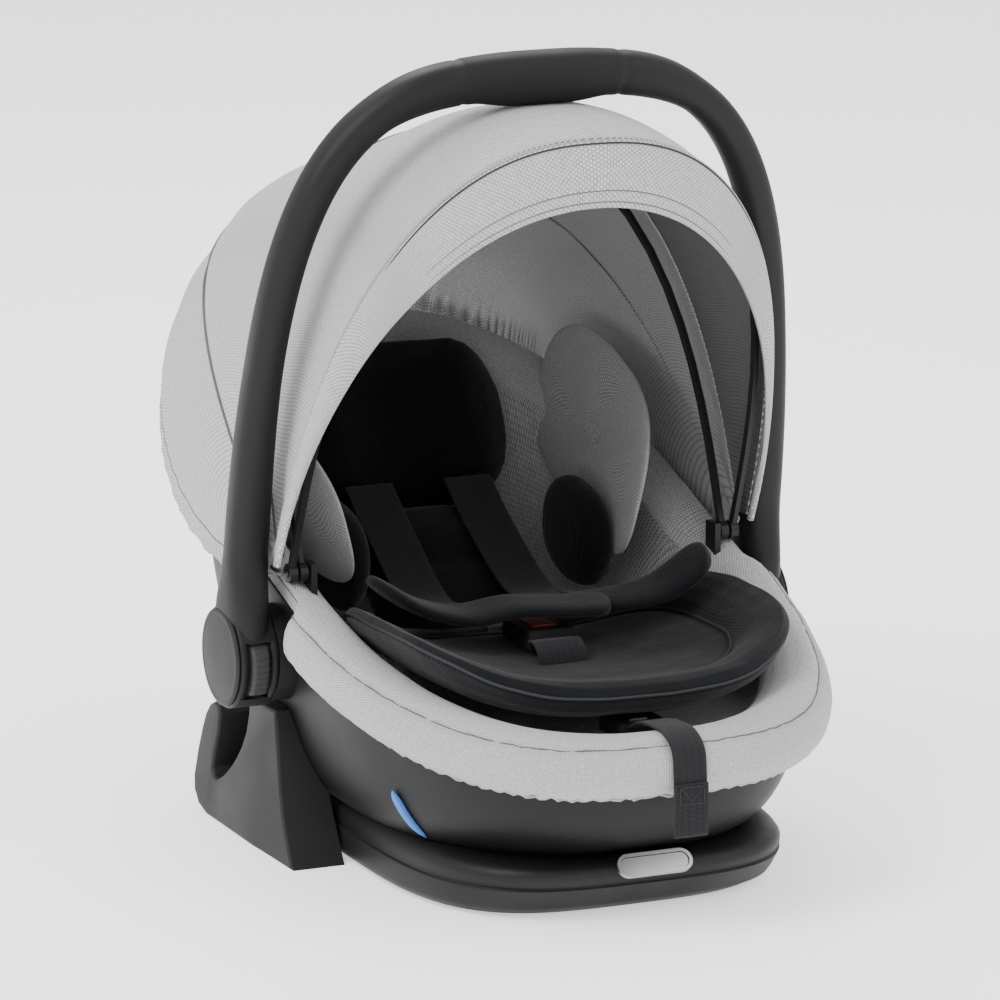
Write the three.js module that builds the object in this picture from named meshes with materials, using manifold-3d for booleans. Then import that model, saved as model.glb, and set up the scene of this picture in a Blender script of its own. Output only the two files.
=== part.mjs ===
// Infant car seat with a carrying handle, a folding canopy and a fixed foot plate.
// Millimetres, +Z up. The leg end faces -Y, the head end +Y. The origin is the point
// on the floor below the handle's pivot axis, and the pivot axis runs along X.
import * as THREE from "three";
import { LoftGeometry } from "three/addons/geometries/LoftGeometry.js";
import { mergeVertices } from "three/addons/utils/BufferGeometryUtils.js";
import Module from "manifold-3d";

// ---------- driving dimensions ----------
const GAP = 0.4; // air between pieces that touch
const RIM_HALF = 176; // half-width of the shell's rim
const HUB_Z = 148; // height of the handle's pivot axis
const HUB_R = 37.5; // outer radius of the round hub housing
const HUB_OFF = 11; // from the shell's rim to the hub housing
const HUB_WIDE = 29; // the hub housing, along X
const HUB_IN_X = RIM_HALF + HUB_OFF; // inner face of the hub housing
const HUB_OUT_X = HUB_IN_X + HUB_WIDE; // outer face of the hub housing
const HUB_WALL = 8; // its outer wall
const HUB_CAVITY_R = 28; // radius of the space for the lock
const CAP_THICK = 4; // disc on the hub's outer face
const HANDLE_HALF = HUB_IN_X + 16; // half-width of the handle's centre line
const HANDLE_RISE = 421; // pivot axis to the handle's centre line at the top
const HANDLE_SQUARE = 3.5; // exponent of the handle's arch
const HANDLE_LEAN = 9.3; // degrees that the handle leans towards the legs
const LEG_HALF = 15; // half of the handle's thickness, across its plane
const GRIP_HALF = 62; // half-length of the soft grip
const GRIP_SKIN = 3; // thickness of the soft grip
const PIVOT_R = 6; // pivot bolt
const BUTTON_W = 17; // handle button, along X
const BUTTON_H = 42; // handle button, height

const SHELL_WALL = 3;
const SHELL_FLOOR_Z = 31; // underside of the shell
const FLOOR_HALF = 108; // half-width of the shell's floor
const FLOOR_FRONT = -175;
const FLOOR_REAR = 70;
const RIM_FRONT = -296;
const RIM_REAR = 316;
const RIM_FRONT_Z = 124;
const RIM_REAR_Z = 312;
const RIM_CURVE = 1.35; // how late the rim rises towards the head
const RIM_SQUARE = 2.5; // exponent of the rim's outline
const EAR_R = 35; // round boss that carries the handle

const FOAM_THICK = 13; // foam on the shell's sides
const FOAM_TOP_Z = 96; // top of the foam on the floor
const COVER_THICK = 13; // padded cover over the foam
const ROLL_OUT = 21; // how far the cover's rolled rim stands out of the shell
const ROLL_UP = 15; // and above the rim
const ROLL_IN = 30; // and in from the rim
const HEM_DROP = 26; // hem below the rim, outside

const BASE_HALF = 143; // foot plate
const BASE_FRONT = -246;
const BASE_REAR = 132;
const BASE_H = 43;
const BASE_STEP = 2.5; // step of the parting lip
const BASE_WALL = 5;
const FOOT_IN_X = RIM_HALF - 30; // side feet
const FOOT_OUT_X = HUB_IN_X;

const PIVOT_Y = -27; // canopy pivots
const PIVOT_Z = 211;
const BOW_R = 3.5; // canopy bow rods
const CLOTH = 2; // canopy fabric

const BADGE_W = 55;
const BADGE_H = 17;
const WEBBING = 38; // harness strap width
const WEBBING_THICK = 2;

// ---------- library of shapes ----------
const wasm = await Module();
wasm.setup();
const { cos, sin, abs, sign, PI, min, max, pow, sqrt } = Math;
const rad = THREE.MathUtils.degToRad;
const lerp = THREE.MathUtils.lerp;
const smooth = THREE.MathUtils.smoothstep;
const v3 = (x, y, z) => new THREE.Vector3(x, y, z);
const bend = (c, n) => sign(c) * pow(abs(c), 2 / n); // superellipse coordinate

function positions(geometry) {
  const g = geometry.index ? geometry.toNonIndexed() : geometry.clone();
  for (const name of Object.keys(g.attributes)) if (name !== "position") g.deleteAttribute(name);
  return mergeVertices(g, 1e-4);
}

function toSolid(geometry) {
  const g = positions(geometry);
  return new wasm.Manifold(
    new wasm.Mesh({
      numProp: 3,
      vertProperties: new Float32Array(g.attributes.position.array),
      triVerts: new Uint32Array(g.index.array),
    }),
  );
}

function fromSolid(solid) {
  const m = solid.getMesh();
  const g = new THREE.BufferGeometry();
  g.setAttribute("position", new THREE.BufferAttribute(new Float32Array(m.vertProperties), 3));
  g.setIndex(new THREE.BufferAttribute(new Uint32Array(m.triVerts), 1));
  g.computeVertexNormals();
  return g;
}

const join = (first, ...rest) => fromSolid(rest.reduce((s, g) => s.add(toSolid(g)), toSolid(first)));
const cut = (first, ...rest) => fromSolid(rest.reduce((s, g) => s.subtract(toSolid(g)), toSolid(first)));
const common = (a, b) => fromSolid(toSolid(a).intersect(toSolid(b)));

// Twice-used corners are merged and faces of no area are dropped, so the skin is one closed surface.
function closed(geometry) {
  const g = positions(geometry);
  const faces = [];
  for (let i = 0; i < g.index.count; i += 3) {
    const f = [0, 1, 2].map((k) => g.index.getX(i + k));
    if (new Set(f).size === 3) faces.push(f);
  }
  const xyz = g.attributes.position;
  const [a, b, c] = [v3(), v3(), v3()];
  let volume = 0;
  for (const f of faces) {
    a.fromBufferAttribute(xyz, f[0]);
    b.fromBufferAttribute(xyz, f[1]);
    c.fromBufferAttribute(xyz, f[2]);
    volume += a.dot(b.cross(c));
  }
  g.setIndex((volume > 0 ? faces : faces.map((f) => f.reverse())).flat());
  g.computeVertexNormals();
  return g;
}

// A closed skin through rings of points, its ends closed by a fan about the ring's middle.
function loft(sections) {
  const middle = (ring) => {
    const c = ring.reduce((sum, p) => sum.add(p), v3()).divideScalar(ring.length);
    return ring.map(() => c);
  };
  return closed(new LoftGeometry([middle(sections[0]), ...sections, middle(sections.at(-1))]));
}

// A sheet with a thickness: rows of points on its two faces, joined all round the edge.
function sheet(outer, inner) {
  const rows = outer.length;
  const columns = outer[0].length;
  const at = (face, i, j) => (face * rows + i) * columns + j;
  const faces = [];
  const quad = (a, b, c, d) => faces.push(a, b, c, a, c, d);
  for (let i = 0; i + 1 < rows; i++) {
    for (let j = 0; j + 1 < columns; j++) {
      quad(at(0, i, j), at(0, i, j + 1), at(0, i + 1, j + 1), at(0, i + 1, j));
      quad(at(1, i, j), at(1, i + 1, j), at(1, i + 1, j + 1), at(1, i, j + 1));
    }
  }
  for (let i = 0; i + 1 < rows; i++) {
    quad(at(0, i, 0), at(0, i + 1, 0), at(1, i + 1, 0), at(1, i, 0));
    quad(at(0, i + 1, columns - 1), at(0, i, columns - 1), at(1, i, columns - 1), at(1, i + 1, columns - 1));
  }
  for (let j = 0; j + 1 < columns; j++) {
    quad(at(0, 0, j + 1), at(0, 0, j), at(1, 0, j), at(1, 0, j + 1));
    quad(at(0, rows - 1, j), at(0, rows - 1, j + 1), at(1, rows - 1, j + 1), at(1, rows - 1, j));
  }
  const g = new THREE.BufferGeometry().setFromPoints([...outer.flat(), ...inner.flat()]);
  return closed(g.setIndex(faces));
}

const box = (x0, x1, y0, y1, z0, z1) =>
  new THREE.BoxGeometry(x1 - x0, y1 - y0, z1 - z0).translate((x0 + x1) / 2, (y0 + y1) / 2, (z0 + z1) / 2);

// A cylinder along X, its faces at x0 and x1, on the axis (y, z).
const rod = (radius, x0, x1, y = 0, z = HUB_Z, sides = 32) =>
  new THREE.CylinderGeometry(radius, radius, abs(x1 - x0), sides)
    .rotateZ(PI / 2)
    .translate((x0 + x1) / 2, y, z);

// An outline in (y, z) given thickness along X.
function plateX(outline, x0, x1) {
  const shape = new THREE.Shape(outline.map(([y, z]) => new THREE.Vector2(y, z)));
  const g = new THREE.ExtrudeGeometry(shape, { depth: x1 - x0, bevelEnabled: false, curveSegments: 8 });
  return g.applyMatrix4(new THREE.Matrix4().makeBasis(v3(0, 1, 0), v3(0, 0, 1), v3(1, 0, 0))).translate(x0, 0, 0);
}

// A tube along a curve, with a round section.
function tube(points, radius, steps = 20, sides = 10) {
  const circle = new THREE.Shape().absarc(0, 0, radius, 0, 2 * PI);
  const path = new THREE.CatmullRomCurve3(points);
  return new THREE.ExtrudeGeometry(circle, { steps, extrudePath: path, curveSegments: sides / 2 });
}

// A flat strap along a curve: width along `across`, thickness along its own normal.
function strap(points, width, thick, across = v3(1, 0, 0), steps = 14) {
  const path = new THREE.CatmullRomCurve3(points);
  const sections = [];
  for (let i = 0; i <= steps; i++) {
    const p = path.getPointAt(i / steps);
    const t = path.getTangentAt(i / steps);
    const side = across.clone().addScaledVector(t, -across.dot(t)).normalize();
    const up = t.clone().cross(side);
    const corner = (u, w) => p.clone().addScaledVector(side, (u * width) / 2).addScaledVector(up, (w * thick) / 2);
    sections.push([corner(-1, -1), corner(1, -1), corner(1, 1), corner(-1, 1)]);
  }
  return loft(sections);
}

// A cushion: rings from one side to the other of a squashed, squared ball.
function pillow(centre, half, square = 2.6, levels = 8, sides = 20) {
  const sections = [];
  for (let i = 0; i <= levels; i++) {
    const a = lerp(-0.47, 0.47, i / levels) * PI;
    const r = pow(cos(a), 2 / square);
    const ring = [];
    for (let j = 0; j < sides; j++) {
      const b = (2 * PI * j) / sides;
      ring.push(v3(half[0] * r * bend(cos(b), square), half[1] * r * bend(sin(b), square), half[2] * bend(sin(a), square)));
    }
    sections.push(ring);
  }
  return loft(sections).translate(...centre);
}

// ---------- materials ----------
const finish = (color, roughness, metalness = 0) => new THREE.MeshStandardMaterial({ color, roughness, metalness });
const blackPlastic = finish(0x202123, 0.55);
const greyPlastic = finish(0x2b2c2e, 0.6);
const softGrip = finish(0x1c1d1e, 0.75);
const steel = finish(0x9a9ca0, 0.35, 1);
const lightFabric = finish(0xc4c4c6, 0.9);
const darkFabric = finish(0x0c0d10, 0.9);
const blueFabric = finish(0x4f7fc4, 0.5);
const foamWhite = finish(0xdedede, 0.95);
const silver = finish(0xa4a4a6, 0.35, 1);

const seat = new THREE.Group();
function add(name, geometry, material, parent = seat) {
  const mesh = new THREE.Mesh(geometry, material);
  mesh.name = name;
  parent.add(mesh);
}
const SIDES = [["left", -1], ["right", 1]];
const mirrorX = (g, s) => (s > 0 ? g : fromSolid(toSolid(g).mirror([1, 0, 0])));

// ---------- shell, foam and cover ----------
const rimZ = (y) => lerp(RIM_FRONT_Z, RIM_REAR_Z, pow(max(0, (y - RIM_FRONT) / (RIM_REAR - RIM_FRONT)), RIM_CURVE));

// One ring of the tub at level t (0 floor, 1 rim), moved in by inset, on a floor at floorZ.
function tubRing(t, inset, floorZ, sides = 32) {
  const spread = pow(sin((t * PI) / 2), 0.75);
  const half = lerp(FLOOR_HALF, RIM_HALF, spread) - inset;
  const front = lerp(FLOOR_FRONT, RIM_FRONT, spread) + inset;
  const rear = lerp(FLOOR_REAR, RIM_REAR, spread) - inset;
  const rise = 1 - cos((t * PI) / 2);
  const ring = [];
  for (let j = 0; j < sides; j++) {
    const a = (2 * PI * j) / sides;
    const x = half * bend(sin(a), RIM_SQUARE);
    const y = (front + rear) / 2 - ((rear - front) / 2) * bend(cos(a), RIM_SQUARE);
    ring.push(v3(x, y, lerp(floorZ, rimZ(y), rise)));
  }
  return ring;
}
// The levels from one to another, in eighths, so that nested walls have their rings side by side.
const levels = (from, to) => Array.from({ length: abs(to - from) + 1 }, (_, i) => (from + i * sign(to - from)) / 8);
const tubBody = (inset) => loft(levels(0, 8).map((t) => tubRing(t, inset, SHELL_FLOOR_Z + inset)));
const raised = (ring, dz) => ring.map((p) => v3(p.x, p.y, p.z + dz));

const shellCup = loft([
  ...levels(0, 8).map((t) => tubRing(t, 0, SHELL_FLOOR_Z)),
  ...levels(8, 0).map((t) => tubRing(t, SHELL_WALL, SHELL_FLOOR_Z + SHELL_WALL)),
]);
const EAR_X = HUB_IN_X - GAP; // outer face of the boss
const tubInside = tubBody(SHELL_WALL);
const ears = SIDES.map(([, s]) => cut(rod(EAR_R, s * (RIM_HALF - 26), s * EAR_X), tubInside));
const bores = SIDES.map(([, s]) => rod(PIVOT_R + GAP, s * RIM_HALF, s * (EAR_X + 1), 0, HUB_Z, 20));
add("shell", cut(join(shellCup, ...ears), ...bores), blackPlastic);

const FOAM_LEVEL = 7; // eighths of the shell's height that the foam reaches
const foamOut = SHELL_WALL + 2 * GAP;
const foamIn = foamOut + FOAM_THICK;
add(
  "foam_liner",
  loft([
    ...levels(0, FOAM_LEVEL).map((t) => tubRing(t, foamOut, SHELL_FLOOR_Z + foamOut)),
    ...levels(FOAM_LEVEL, 0).map((t) => tubRing(t, foamIn, FOAM_TOP_Z)),
  ]),
  foamWhite,
);

const coverIn = foamIn + COVER_THICK;
// A ring round the rim, out from it and up. Behind the hubs the roll is slim, under the canopy.
const ROLL_SLIM = 0.35;
function rim(out, up) {
  const near = tubRing(1, -min(out, out * ROLL_SLIM), SHELL_FLOOR_Z);
  const far = tubRing(1, -max(out, out * ROLL_SLIM), SHELL_FLOOR_Z);
  const [full, slim] = out > 0 ? [far, near] : [near, far];
  return raised(full.map((p, i) => p.clone().lerp(out > GAP * 2 ? slim[i] : p, smooth(p.y, -90, 60))), up);
}
const coverSkin = loft([
  ...levels(0, FOAM_LEVEL - 1).map((t) => tubRing(t, coverIn, FOAM_TOP_Z + COVER_THICK)),
  rim(-ROLL_IN, 0),
  rim(-ROLL_IN * 0.62, ROLL_UP * 0.75),
  rim(0, ROLL_UP),
  rim(ROLL_OUT * 0.75, ROLL_UP * 0.55),
  rim(ROLL_OUT, -ROLL_UP * 0.3),
  rim(ROLL_OUT * 0.72, -HEM_DROP * 0.8),
  rim(ROLL_OUT * 0.3, -HEM_DROP),
  rim(GAP * 2, -HEM_DROP * 0.9),
  rim(GAP * 2, GAP * 2),
  rim(-SHELL_WALL - GAP * 2, GAP * 2),
  raised(tubRing(FOAM_LEVEL / 8, foamOut + GAP, FOAM_TOP_Z), 3),
  raised(tubRing(FOAM_LEVEL / 8, foamIn + GAP, FOAM_TOP_Z), 3),
  ...levels(FOAM_LEVEL, 0).map((t) => tubRing(t, foamIn + 2 * GAP, FOAM_TOP_Z + 2 * GAP)),
]);
// The rolled rim ends in front of the handle's hubs, and behind them the sides stay inside its sweep.
const ROLL_END_Y = -HUB_R - 6;
const sideCuts = SIDES.map(([, s]) => box(...[s * (RIM_HALF - 1), s * 300].sort((a, b) => a - b), ROLL_END_Y, 400, 0, 500));
const BRACKET_X = RIM_HALF - 19; // inner face of the canopy's brackets
const BRACKET_W = 4.5;
const bracketBox = (s, grow) =>
  mirrorX(
    box(
      BRACKET_X - grow, BRACKET_X + BRACKET_W + grow,
      PIVOT_Y - 8 - grow, PIVOT_Y + 8 + grow,
      PIVOT_Z - 19 - grow, PIVOT_Z + 7 + 2 * grow,
    ),
    s,
  );
add("seat_cover", cut(coverSkin, ...sideCuts, ...SIDES.map(([, s]) => bracketBox(s, GAP))), lightFabric);

// ---------- foot plate and side feet ----------
const tubOutside = tubBody(-GAP);
// One ring of the foot plate: its half-width, and how far its front has drawn forward.
function plateRing(half, front, rear, z, sides = 40) {
  const ring = [];
  for (let j = 0; j < sides; j++) {
    const a = (2 * PI * j) / sides;
    ring.push(v3(half * bend(sin(a), 3.4), (front + rear) / 2 - ((rear - front) / 2) * bend(cos(a), 3.4), z));
  }
  return ring;
}
const LIP_Z = 24; // the parting lip
const plate = loft([
  plateRing(BASE_HALF - 5, BASE_FRONT + 12, BASE_REAR - 3, 0),
  plateRing(BASE_HALF, BASE_FRONT, BASE_REAR, 8),
  plateRing(BASE_HALF, BASE_FRONT - 14, BASE_REAR, LIP_Z),
  plateRing(BASE_HALF - BASE_STEP, BASE_FRONT - 14 + BASE_STEP, BASE_REAR - BASE_STEP, LIP_Z),
  plateRing(BASE_HALF - BASE_STEP - 1, BASE_FRONT - 20, BASE_REAR - BASE_STEP, LIP_Z + 10),
  plateRing(BASE_HALF - 14, BASE_FRONT - 10, BASE_REAR - 12, BASE_H),
]);
const POCKET_TOP = SHELL_FLOOR_Z - BASE_WALL;
const pockets = SIDES.map(([, s]) => mirrorX(box(30, BASE_HALF - 30, -150, 60, -1, POCKET_TOP), s));

// The badge lies on the plate's sloping front face.
const BADGE_TILT = -52; // degrees from flat
const badgeAt = (g) => g.rotateX(rad(-BADGE_TILT)).translate(0, BASE_FRONT - 18.5, LIP_Z + 14.5);
const badgePlate = (grow, z0, z1) => badgeAt(roundedSlab(BADGE_W + grow, BADGE_H + grow, z0, z1));
function roundedSlab(width, height, z0, z1) {
  const r = height / 2 - 1;
  const shape = new THREE.Shape();
  shape.absarc(width / 2 - r, 0, height / 2, -PI / 2, PI / 2);
  shape.absarc(-width / 2 + r, 0, height / 2, PI / 2, (3 * PI) / 2);
  return new THREE.ExtrudeGeometry(shape, { depth: z1 - z0, bevelEnabled: false, curveSegments: 8 }).translate(0, 0, z0);
}
add("base_plate", cut(plate, ...pockets, tubOutside, badgePlate(2 * GAP, -2, 20)), blackPlastic);
add("badge_frame", cut(badgePlate(0, -1.4, 2.2), badgePlate(-5, -3, 9)), silver);
add("badge_plate", badgePlate(-5 - 2 * GAP, -1.4, 1.2), silver);

const footOutline = [
  [-56, 0], [112, 0], [134, 9], [139, 22], [130, 62], [119, 82], [101, 85], [97, 70],
  [104, 38], [94, 31], [70, 46], [52, 66], [42, 92], [40, 106], [-9, 106], [-18, 72], [-34, 34], [-52, 10],
];
const FOOT_TOP_X = FOOT_OUT_X - 7; // the foot's outer face leans in towards the hub
function sideFoot(s) {
  const body = plateX(footOutline, FOOT_IN_X, FOOT_OUT_X);
  const xyz = body.attributes.position;
  for (let i = 0; i < xyz.count; i++) {
    if (xyz.getX(i) > FOOT_OUT_X - 1) xyz.setX(i, lerp(FOOT_OUT_X, FOOT_TOP_X, smooth(xyz.getZ(i), 0, 106)));
  }
  const ear = rod(EAR_R + GAP, FOOT_IN_X - 20, 250);
  return mirrorX(cut(body, tubOutside, ear, rod(HUB_R + 3, FOOT_TOP_X - 6, 250)), s);
}
// Two screws hold each foot: their heads sit in its outer face.
const SCREW_R = 3;
const FOOT_SCREWS = { front: [-22, 24], rear: [84, 18] };
const screwX = FOOT_OUT_X - 6; // outer end of the screw head
const screwRod = (s, [y, z], grow) =>
  join(
    rod(SCREW_R + grow, s * (FOOT_IN_X + 6 - grow), s * (screwX - 3), y, z, 12),
    rod(2 * SCREW_R + grow, s * (screwX - 4), s * (grow ? FOOT_OUT_X + 9 : screwX), y, z, 16),
  );
for (const [side, s] of SIDES) {
  const screws = Object.entries(FOOT_SCREWS);
  const drilled = cut(sideFoot(s), ...screws.map(([, at]) => screwRod(s, at, GAP)));
  add("side_foot_" + side, drilled, greyPlastic);
  for (const [place, at] of screws) add(`foot_screw_${side}_${place}`, screwRod(s, at, 0), steel);
}

// Belt guides hug the shell low on each side, towards the legs.
const GUIDE_THICK = 5;
const guideSkin = cut(tubBody(-GAP - GUIDE_THICK), tubOutside);
const guideBlock = (s) => mirrorX(box(FLOOR_HALF - 8, RIM_HALF + 4, -166, -153, 44, 82), s);
for (const [side, s] of SIDES) add("belt_guide_" + side, common(guideSkin, guideBlock(s)), blueFabric);

// ---------- handle ----------
// The handle is made upright in its own group, which leans it about the pivot axis.
const handle = new THREE.Group();
handle.position.set(0, 0, HUB_Z);
handle.rotation.x = rad(HANDLE_LEAN);
seat.add(handle);

// Half of the handle's thickness in its plane at angle a of the arch.
const archHalf = (a) => lerp(15.5, 13, smooth(sin(a), 0.02, 0.35)) + 3 * smooth(sin(a), 0.9, 1);
function archSection(a, shrink, sides = 12) {
  const at = (t) => v3(HANDLE_HALF * bend(cos(t), HANDLE_SQUARE), 0, HANDLE_RISE * bend(sin(t), HANDLE_SQUARE));
  const tangent = at(a + 0.002).sub(at(a - 0.002)).normalize();
  const out = v3(tangent.z, 0, -tangent.x);
  const ring = [];
  for (let j = 0; j < sides; j++) {
    const b = (2 * PI * j) / sides;
    const u = (archHalf(a) - shrink) * bend(cos(b), 2.5);
    const w = (LEG_HALF - shrink) * bend(sin(b), 2.5);
    ring.push(at(a).addScaledVector(out, u).add(v3(0, w, 0)));
  }
  return ring;
}
// The arch angle whose centre line stands at x, and the angle at a height above the pivot.
const archAtX = (x) => Math.acos(pow(x / HANDLE_HALF, HANDLE_SQUARE / 2));
const archAtZ = (z) => Math.asin(pow(z / HANDLE_RISE, HANDLE_SQUARE / 2));
const gripFrom = archAtX(GRIP_HALF);
const legFrom = archAtZ(HUB_R - 12);
// Angles from one hub to the other, close together where the arch turns and at the grip's ends.
const legAngles = [26, 60, 100, 150, 210, 270, 320, 355, 385, 402].map(archAtZ);
const topAngles = [gripFrom - 0.02, gripFrom - 0.01];
const halfArch = [...legAngles, archAtX(105), archAtX(80), ...topAngles].sort((a, b) => a - b);
const wholeArch = [...halfArch, gripFrom, PI / 2, PI - gripFrom, ...halfArch.map((a) => PI - a).reverse()];
const inGrip = (a) => abs(a - PI / 2) <= PI / 2 - gripFrom + 0.012;
const arch = loft(wholeArch.map((a) => archSection(a, inGrip(a) ? GRIP_SKIN + GAP : 0)));

// A hub is turned and bored about the pivot axis: housing, lock space, bolt hole and button window.
const onAxis = (radius, x0, x1, sides = 40) => rod(radius, x0, x1, 0, 0, sides);
const CAVITY_X = HUB_OUT_X - HUB_WALL;
const BUTTON_X = (HUB_IN_X + HUB_OUT_X) / 2;
const HEAD_R = 11; // pivot bolt head
const HEAD_H = 3;
const windowOf = (clear) =>
  box(
    BUTTON_X - BUTTON_W / 2 - clear, BUTTON_X + BUTTON_W / 2 + clear,
    -HUB_R - 5, -HUB_CAVITY_R + 4,
    -BUTTON_H / 2 - clear, BUTTON_H / 2 + clear,
  );
const housing = SIDES.map(([, s]) => onAxis(HUB_R, s * HUB_IN_X, s * HUB_OUT_X));
const hollows = SIDES.flatMap(([, s]) => [
  onAxis(HUB_CAVITY_R, s * (HUB_IN_X - 1), s * CAVITY_X),
  onAxis(PIVOT_R + 0.2, s * CAVITY_X - s, s * (HUB_OUT_X + 1), 20),
  onAxis(HEAD_R + GAP, s * (HUB_OUT_X - HEAD_H - GAP), s * (HUB_OUT_X + 1), 24),
  onAxis(HUB_R - 2 + GAP, s * HUB_OUT_X, s * (HUB_OUT_X + 3 * CAP_THICK)),
  mirrorX(windowOf(GAP), s),
]);
const bareHandle = cut(join(arch, ...housing), ...hollows);
add("handle_bow", bareHandle, blackPlastic, handle);

// The grip is a sleeve on the thinner middle of the arch.
const gripAngles = [gripFrom, gripFrom + 0.012, 1.42, 1.5, PI / 2, PI - 1.5, PI - 1.42, PI - gripFrom - 0.012, PI - gripFrom];
const gripSkin = loft(gripAngles.map((a) => archSection(a, -0.2 - 1.6 * smooth(sin(a), 0.98, 1))));
const gripCore = loft(wholeArch.map((a) => archSection(a, GRIP_SKIN)));
add("handle_grip", cut(gripSkin, gripCore), softGrip, handle);

const TOOTH = 2; // height of the lock's teeth
function toothed(radius, hole, x0, x1, count = 20) {
  const outline = [];
  for (let i = 0; i < count * 2; i++) {
    const a = (PI * i) / count;
    const r = radius - (i % 2 ? TOOTH : 0);
    outline.push([r * cos(a), r * sin(a)]);
  }
  return cut(plateX(outline, min(x0, x1), max(x0, x1)), onAxis(hole, x0 - 9, x1 + 9, 20));
}
const RING_X = HUB_IN_X + 4; // the fixed ring reaches this far into the hub
const LOCK_X = RING_X + 1;
const LOCK_THICK = 4;
const SPRING_R = 12;
for (const [side, s] of SIDES) {
  add("hub_cap_" + side, onAxis(HUB_R - 2, s * (HUB_OUT_X + GAP), s * (HUB_OUT_X + CAP_THICK)), greyPlastic, handle);
  const pad = box(
    BUTTON_X - BUTTON_W / 2, BUTTON_X + BUTTON_W / 2, -HUB_R - 2, -HUB_CAVITY_R - 2, -BUTTON_H / 2, BUTTON_H / 2,
  );
  const rounding = onAxis(HUB_R + 3, HUB_IN_X, HUB_OUT_X);
  add("handle_button_" + side, mirrorX(common(pad, rounding), s), greyPlastic, handle);
  add("lock_disc_" + side, toothed(22, PIVOT_R + 1, s * LOCK_X, s * (LOCK_X + LOCK_THICK)), greyPlastic, handle);
  // The spring behind the disc, with its free room on both ends.
  const coil = [];
  const from = LOCK_X + LOCK_THICK + 1.2;
  const to = CAVITY_X - 1.2;
  const turns = 2.5;
  for (let i = 0; i <= 30; i++) {
    const a = (2 * PI * turns * i) / 30;
    coil.push(v3(s * lerp(from, to, i / 30), SPRING_R * cos(a), SPRING_R * sin(a)));
  }
  add("lock_spring_" + side, tube(coil, 0.9, 30, 6), steel, handle);
}

// ---------- pivots, on the shell's bosses ----------
for (const [side, s] of SIDES) {
  const ring = toothed(24, PIVOT_R + 1, s * (EAR_X + GAP), s * RING_X);
  add("lock_ring_" + side, ring.translate(0, 0, HUB_Z), steel);
  const shank = rod(PIVOT_R, s * (RIM_HALF + 1), s * (HUB_OUT_X - 1), 0, HUB_Z, 20);
  const head = rod(HEAD_R, s * (HUB_OUT_X - HEAD_H), s * HUB_OUT_X, 0, HUB_Z, 24);
  add("pivot_bolt_" + side, join(shank, head), steel);
}

// ---------- canopy ----------
// Every bow swings about one line through the two pivots. A section of the canopy stands at
// angle `lean` back from upright and is a squared half-arch, h high above the pivot line.
const CANOPY_HALF = RIM_HALF + 6; // half-width behind the handle's legs
const TIP_HALF = RIM_HALF + 18; // the visor's loose corners stand in front of the legs
const FRONT_LEAN = -22.3;
const HEM_LEAN = -26.6;
const MID_LEAN = 18;
const REAR_LEAN = 50;
const END_LEAN = 73; // the hem behind the head
const HEM_SIDE_LEAN = 108; // and beside the pivots
const HEIGHTS = [[-22.3, 346], [-4.6, 333], [12.9, 314], [21.7, 311], [45.2, 348], [55.4, 354], [72.9, 386], [100, 386]];
const RAIL_H = 12; // the arches start this far above the pivot line

// The canopy's height over the pivot line at a lean, eased between the measured ones.
function heightAt(lean) {
  const i = max(1, HEIGHTS.findIndex(([a]) => a >= lean));
  const [[a0, h0], [a1, h1]] = [HEIGHTS[i - 1], HEIGHTS[i]];
  return lerp(h0, h1, (lean - a0) / (a1 - a0));
}
const onArch = (x, h, lean) => v3(x, PIVOT_Y + h * sin(rad(lean)), PIVOT_Z + h * cos(rad(lean)));

// The line of an arch from the left foot to the right one, moved in by inset.
function archLine(lean, half, height, square, inset = 0, foot = RAIL_H, count = 18) {
  const low = Math.asin(pow(foot / (height - inset), square / 2));
  return Array.from({ length: count + 1 }, (_, i) => {
    const a = lerp(PI - low, low, i / count);
    return onArch((half - inset) * bend(cos(a), square), (height - inset) * bend(sin(a), square), lean);
  });
}
// A fabric panel between two leans. The lower one may change with the height share up the arch.
function panel(from, to, steps, lowest = () => to) {
  const face = (inset) =>
    Array.from({ length: steps + 1 }, (_, i) => {
      const line = (lean) => {
        const half = lerp(TIP_HALF - 3, CANOPY_HALF, smooth(lean, FRONT_LEAN, 0));
        return archLine(lean, half, heightAt(lean), lerp(2.4, 3.7, smooth(lean, 0, 70)), inset);
      };
      return line(lerp(from, to, i / steps)).map((p, j) => {
        const share = min(1, sqrt((p.y - PIVOT_Y) ** 2 + (p.z - PIVOT_Z) ** 2) / heightAt(to));
        return line(lerp(from, lowest(share), i / steps))[j];
      });
    });
  return sheet(face(0), face(CLOTH));
}
// A bow is a bent rod inside the fabric, flattened into a pivot eye at each end.
const BOW_BEHIND = 1.2; // degrees that the front bow stands behind the visor seam
const EYE_R = 7;
const EYE_X = CANOPY_HALF - 8;
function bow(lean, eyeX) {
  const height = heightAt(lean) - CLOTH - BOW_R - 4;
  const points = [];
  for (let i = 0; i <= 22; i++) {
    const a = lerp(PI - 0.03, 0.03, i / 22);
    points.push(onArch(eyeX * bend(cos(a), 2.6), height * bend(sin(a), 2.6), lean));
  }
  points.unshift(onArch(-eyeX, EYE_R - 2, lean));
  points.push(onArch(eyeX, EYE_R - 2, lean));
  const rodPart = tube(points, BOW_R, 26, 6);
  const eyes = SIDES.map(([, s]) => rod(EYE_R, s * (eyeX - 3), s * (eyeX + 3), PIVOT_Y, PIVOT_Z, 20));
  const holes = SIDES.map(([, s]) => rod(3.2, s * (eyeX - 9), s * (eyeX + 9), PIVOT_Y, PIVOT_Z, 16));
  return cut(join(rodPart, ...eyes), ...holes);
}
add("canopy_front_bow", bow(FRONT_LEAN + BOW_BEHIND, EYE_X), steel);
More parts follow.
